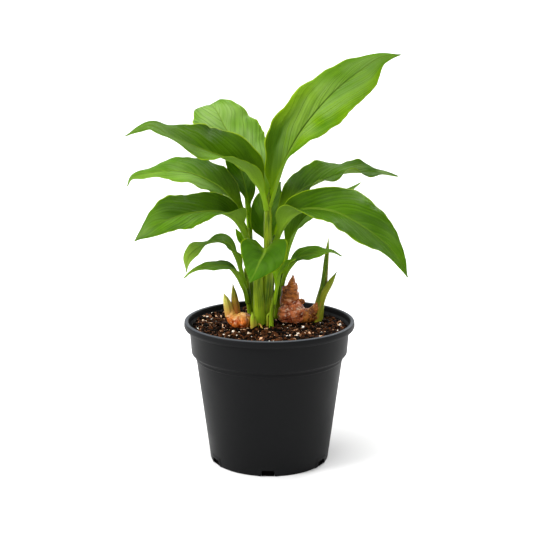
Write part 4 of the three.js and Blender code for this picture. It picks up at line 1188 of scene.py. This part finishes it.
def rounded_profile(corners):
    """Points along the profile: each corner becomes an arc that touches both its sides, (1 - w)² times
    its start, 2w(1 - w) times the corner and w² times its end, and a long straight stretch gets a point
    every few millimetres."""
    p = np.array([corner[:2] for corner in corners])
    w = np.linspace(0, 1, ARC_POINTS)[:, None]
    line = [p[0]]
    for k in range(1, len(p) - 1):
        sides = p[k - 1] - p[k], p[k + 1] - p[k]
        before, after = (unit(side) for side in sides)
        half = math.acos(float(np.clip(before @ after, -1, 1))) / 2
        longest = 0.48 * min(np.linalg.norm(side) for side in sides)
        reach = min(corners[k][2] / math.tan(half), longest)
        start, end = p[k] + before * reach, p[k] + after * reach
        line.extend((1 - w) ** 2 * start + 2 * w * (1 - w) * p[k] + w**2 * end)
    return divided([*line, p[-1]], lambda a, b: max(1, int(np.linalg.norm(b - a) / RING_GAP)))


def frame_relief(turn, z):
    """How far the frame round each notch stands out of the wall, in mm: full as far as FRAME_WIDTH
    outside the notch's outline and gone at FRAME_FADE."""
    step = 2 * math.pi / NOTCHES
    off = (np.mod(turn - FRONT - NOTCH_TURN + step / 2, step) - step / 2) * FOOT_RADIUS
    width = NOTCH_FOOT + (NOTCH_TOP - NOTCH_FOOT) * np.clip(z, 0, NOTCH_HEIGHT) / NOTCH_HEIGHT
    outside = np.maximum(np.abs(off) - width / 2, z - NOTCH_HEIGHT)
    return FRAME_HEIGHT * (1 - smooth_step(FRAME_WIDTH, FRAME_FADE, outside))


def pot_skin(columns=400):
    """The profile turned round the axis, with finer rings where the frames of the notches stand."""
    line = rounded_profile(POT_CORNERS)
    fine = divided(line, lambda a, b: FRAME_PARTS if a[1] + 1 < b[1] < FRAME_TOP else 1)
    radius, z = fine.T[..., None]
    outside = np.arange(len(z))[:, None] < np.argmax(radius)
    framed = outside & (radius > FOOT_RADIUS - 0.5) & (z < FRAME_TOP + 2)
    turn = np.arange(columns) * 2 * math.pi / columns
    return turned(radius + np.where(framed, frame_relief(turn, z), 0), z, columns)


pot = new_piece("pot_skin", pot_skin(), "black_polypropylene", "pot_plastic", ["pot"])

# %% Notches
NOTCH_REACH, OUTSIDE = 13.5, 6  # mm, how far the cutters go into the foot and how far they stand out of it
outer = [FOOT_RADIUS + OUTSIDE] * 2
inner = FOOT_RADIUS - NOTCH_REACH
points, faces = notch_blocks((NOTCH_FOOT, NOTCH_TOP), (-1, NOTCH_HEIGHT), inner, outer)
cutters = bpy.data.meshes.new("notches")
cutters.from_pydata(points * MM, [], faces)
cutter = put("notches", cutters)
cut = pot.modifiers.new("notches", "BOOLEAN")
cut.object = cutter
cut.operation = "DIFFERENCE"
cut.solver = "EXACT"
done = bpy.data.meshes.new_from_object(pot.evaluated_get(bpy.context.evaluated_depsgraph_get()))
pot.modifiers.clear()
pot.data = done
bpy.data.objects.remove(cutter)
print("pot faces", len(pot.data.polygons))

# %% [markdown]
# ## Floor
# A sheet of white paper would end in a visible horizon. So the floor is a very wide and very shallow
# dish: flat round the pot, then rising by one part in eleven, and it takes the light as evenly as a
# flat floor does.

# %% Floor
FLAT_RADIUS, EASED_RADIUS = 1.6, 4.5  # m
RIM_SLOPE = 0.09  # m up for each m outwards


def floor_skin():
    """Rings whose height is RIM_SLOPE times the distance beyond the flat middle, eased in."""
    radius = np.concatenate([[0.02, 0.5, 1.0, 1.5], np.linspace(2.0, 14, 25)])[:, None]
    eased = smooth_step(FLAT_RADIUS, EASED_RADIUS, radius)
    return turned(radius, RIM_SLOPE * np.maximum(0, radius - FLAT_RADIUS) * eased, 96)


add, _ = new_material("white_paper")
add("OutputMaterial", add("BsdfPrincipled", "#dcdcdc", Roughness=0.9, Specular_IOR_Level=0))
dish = floor_skin()
mesh = bpy.data.meshes.new("floor")
mesh.from_pydata(dish.reshape(-1, 3), [], tube_faces(*dish.shape[:2])[:-1])
mesh.shade_smooth()
mesh.materials.append(bpy.data.materials["white_paper"])
put("floor", mesh)
print("floor", len(mesh.polygons), "faces")
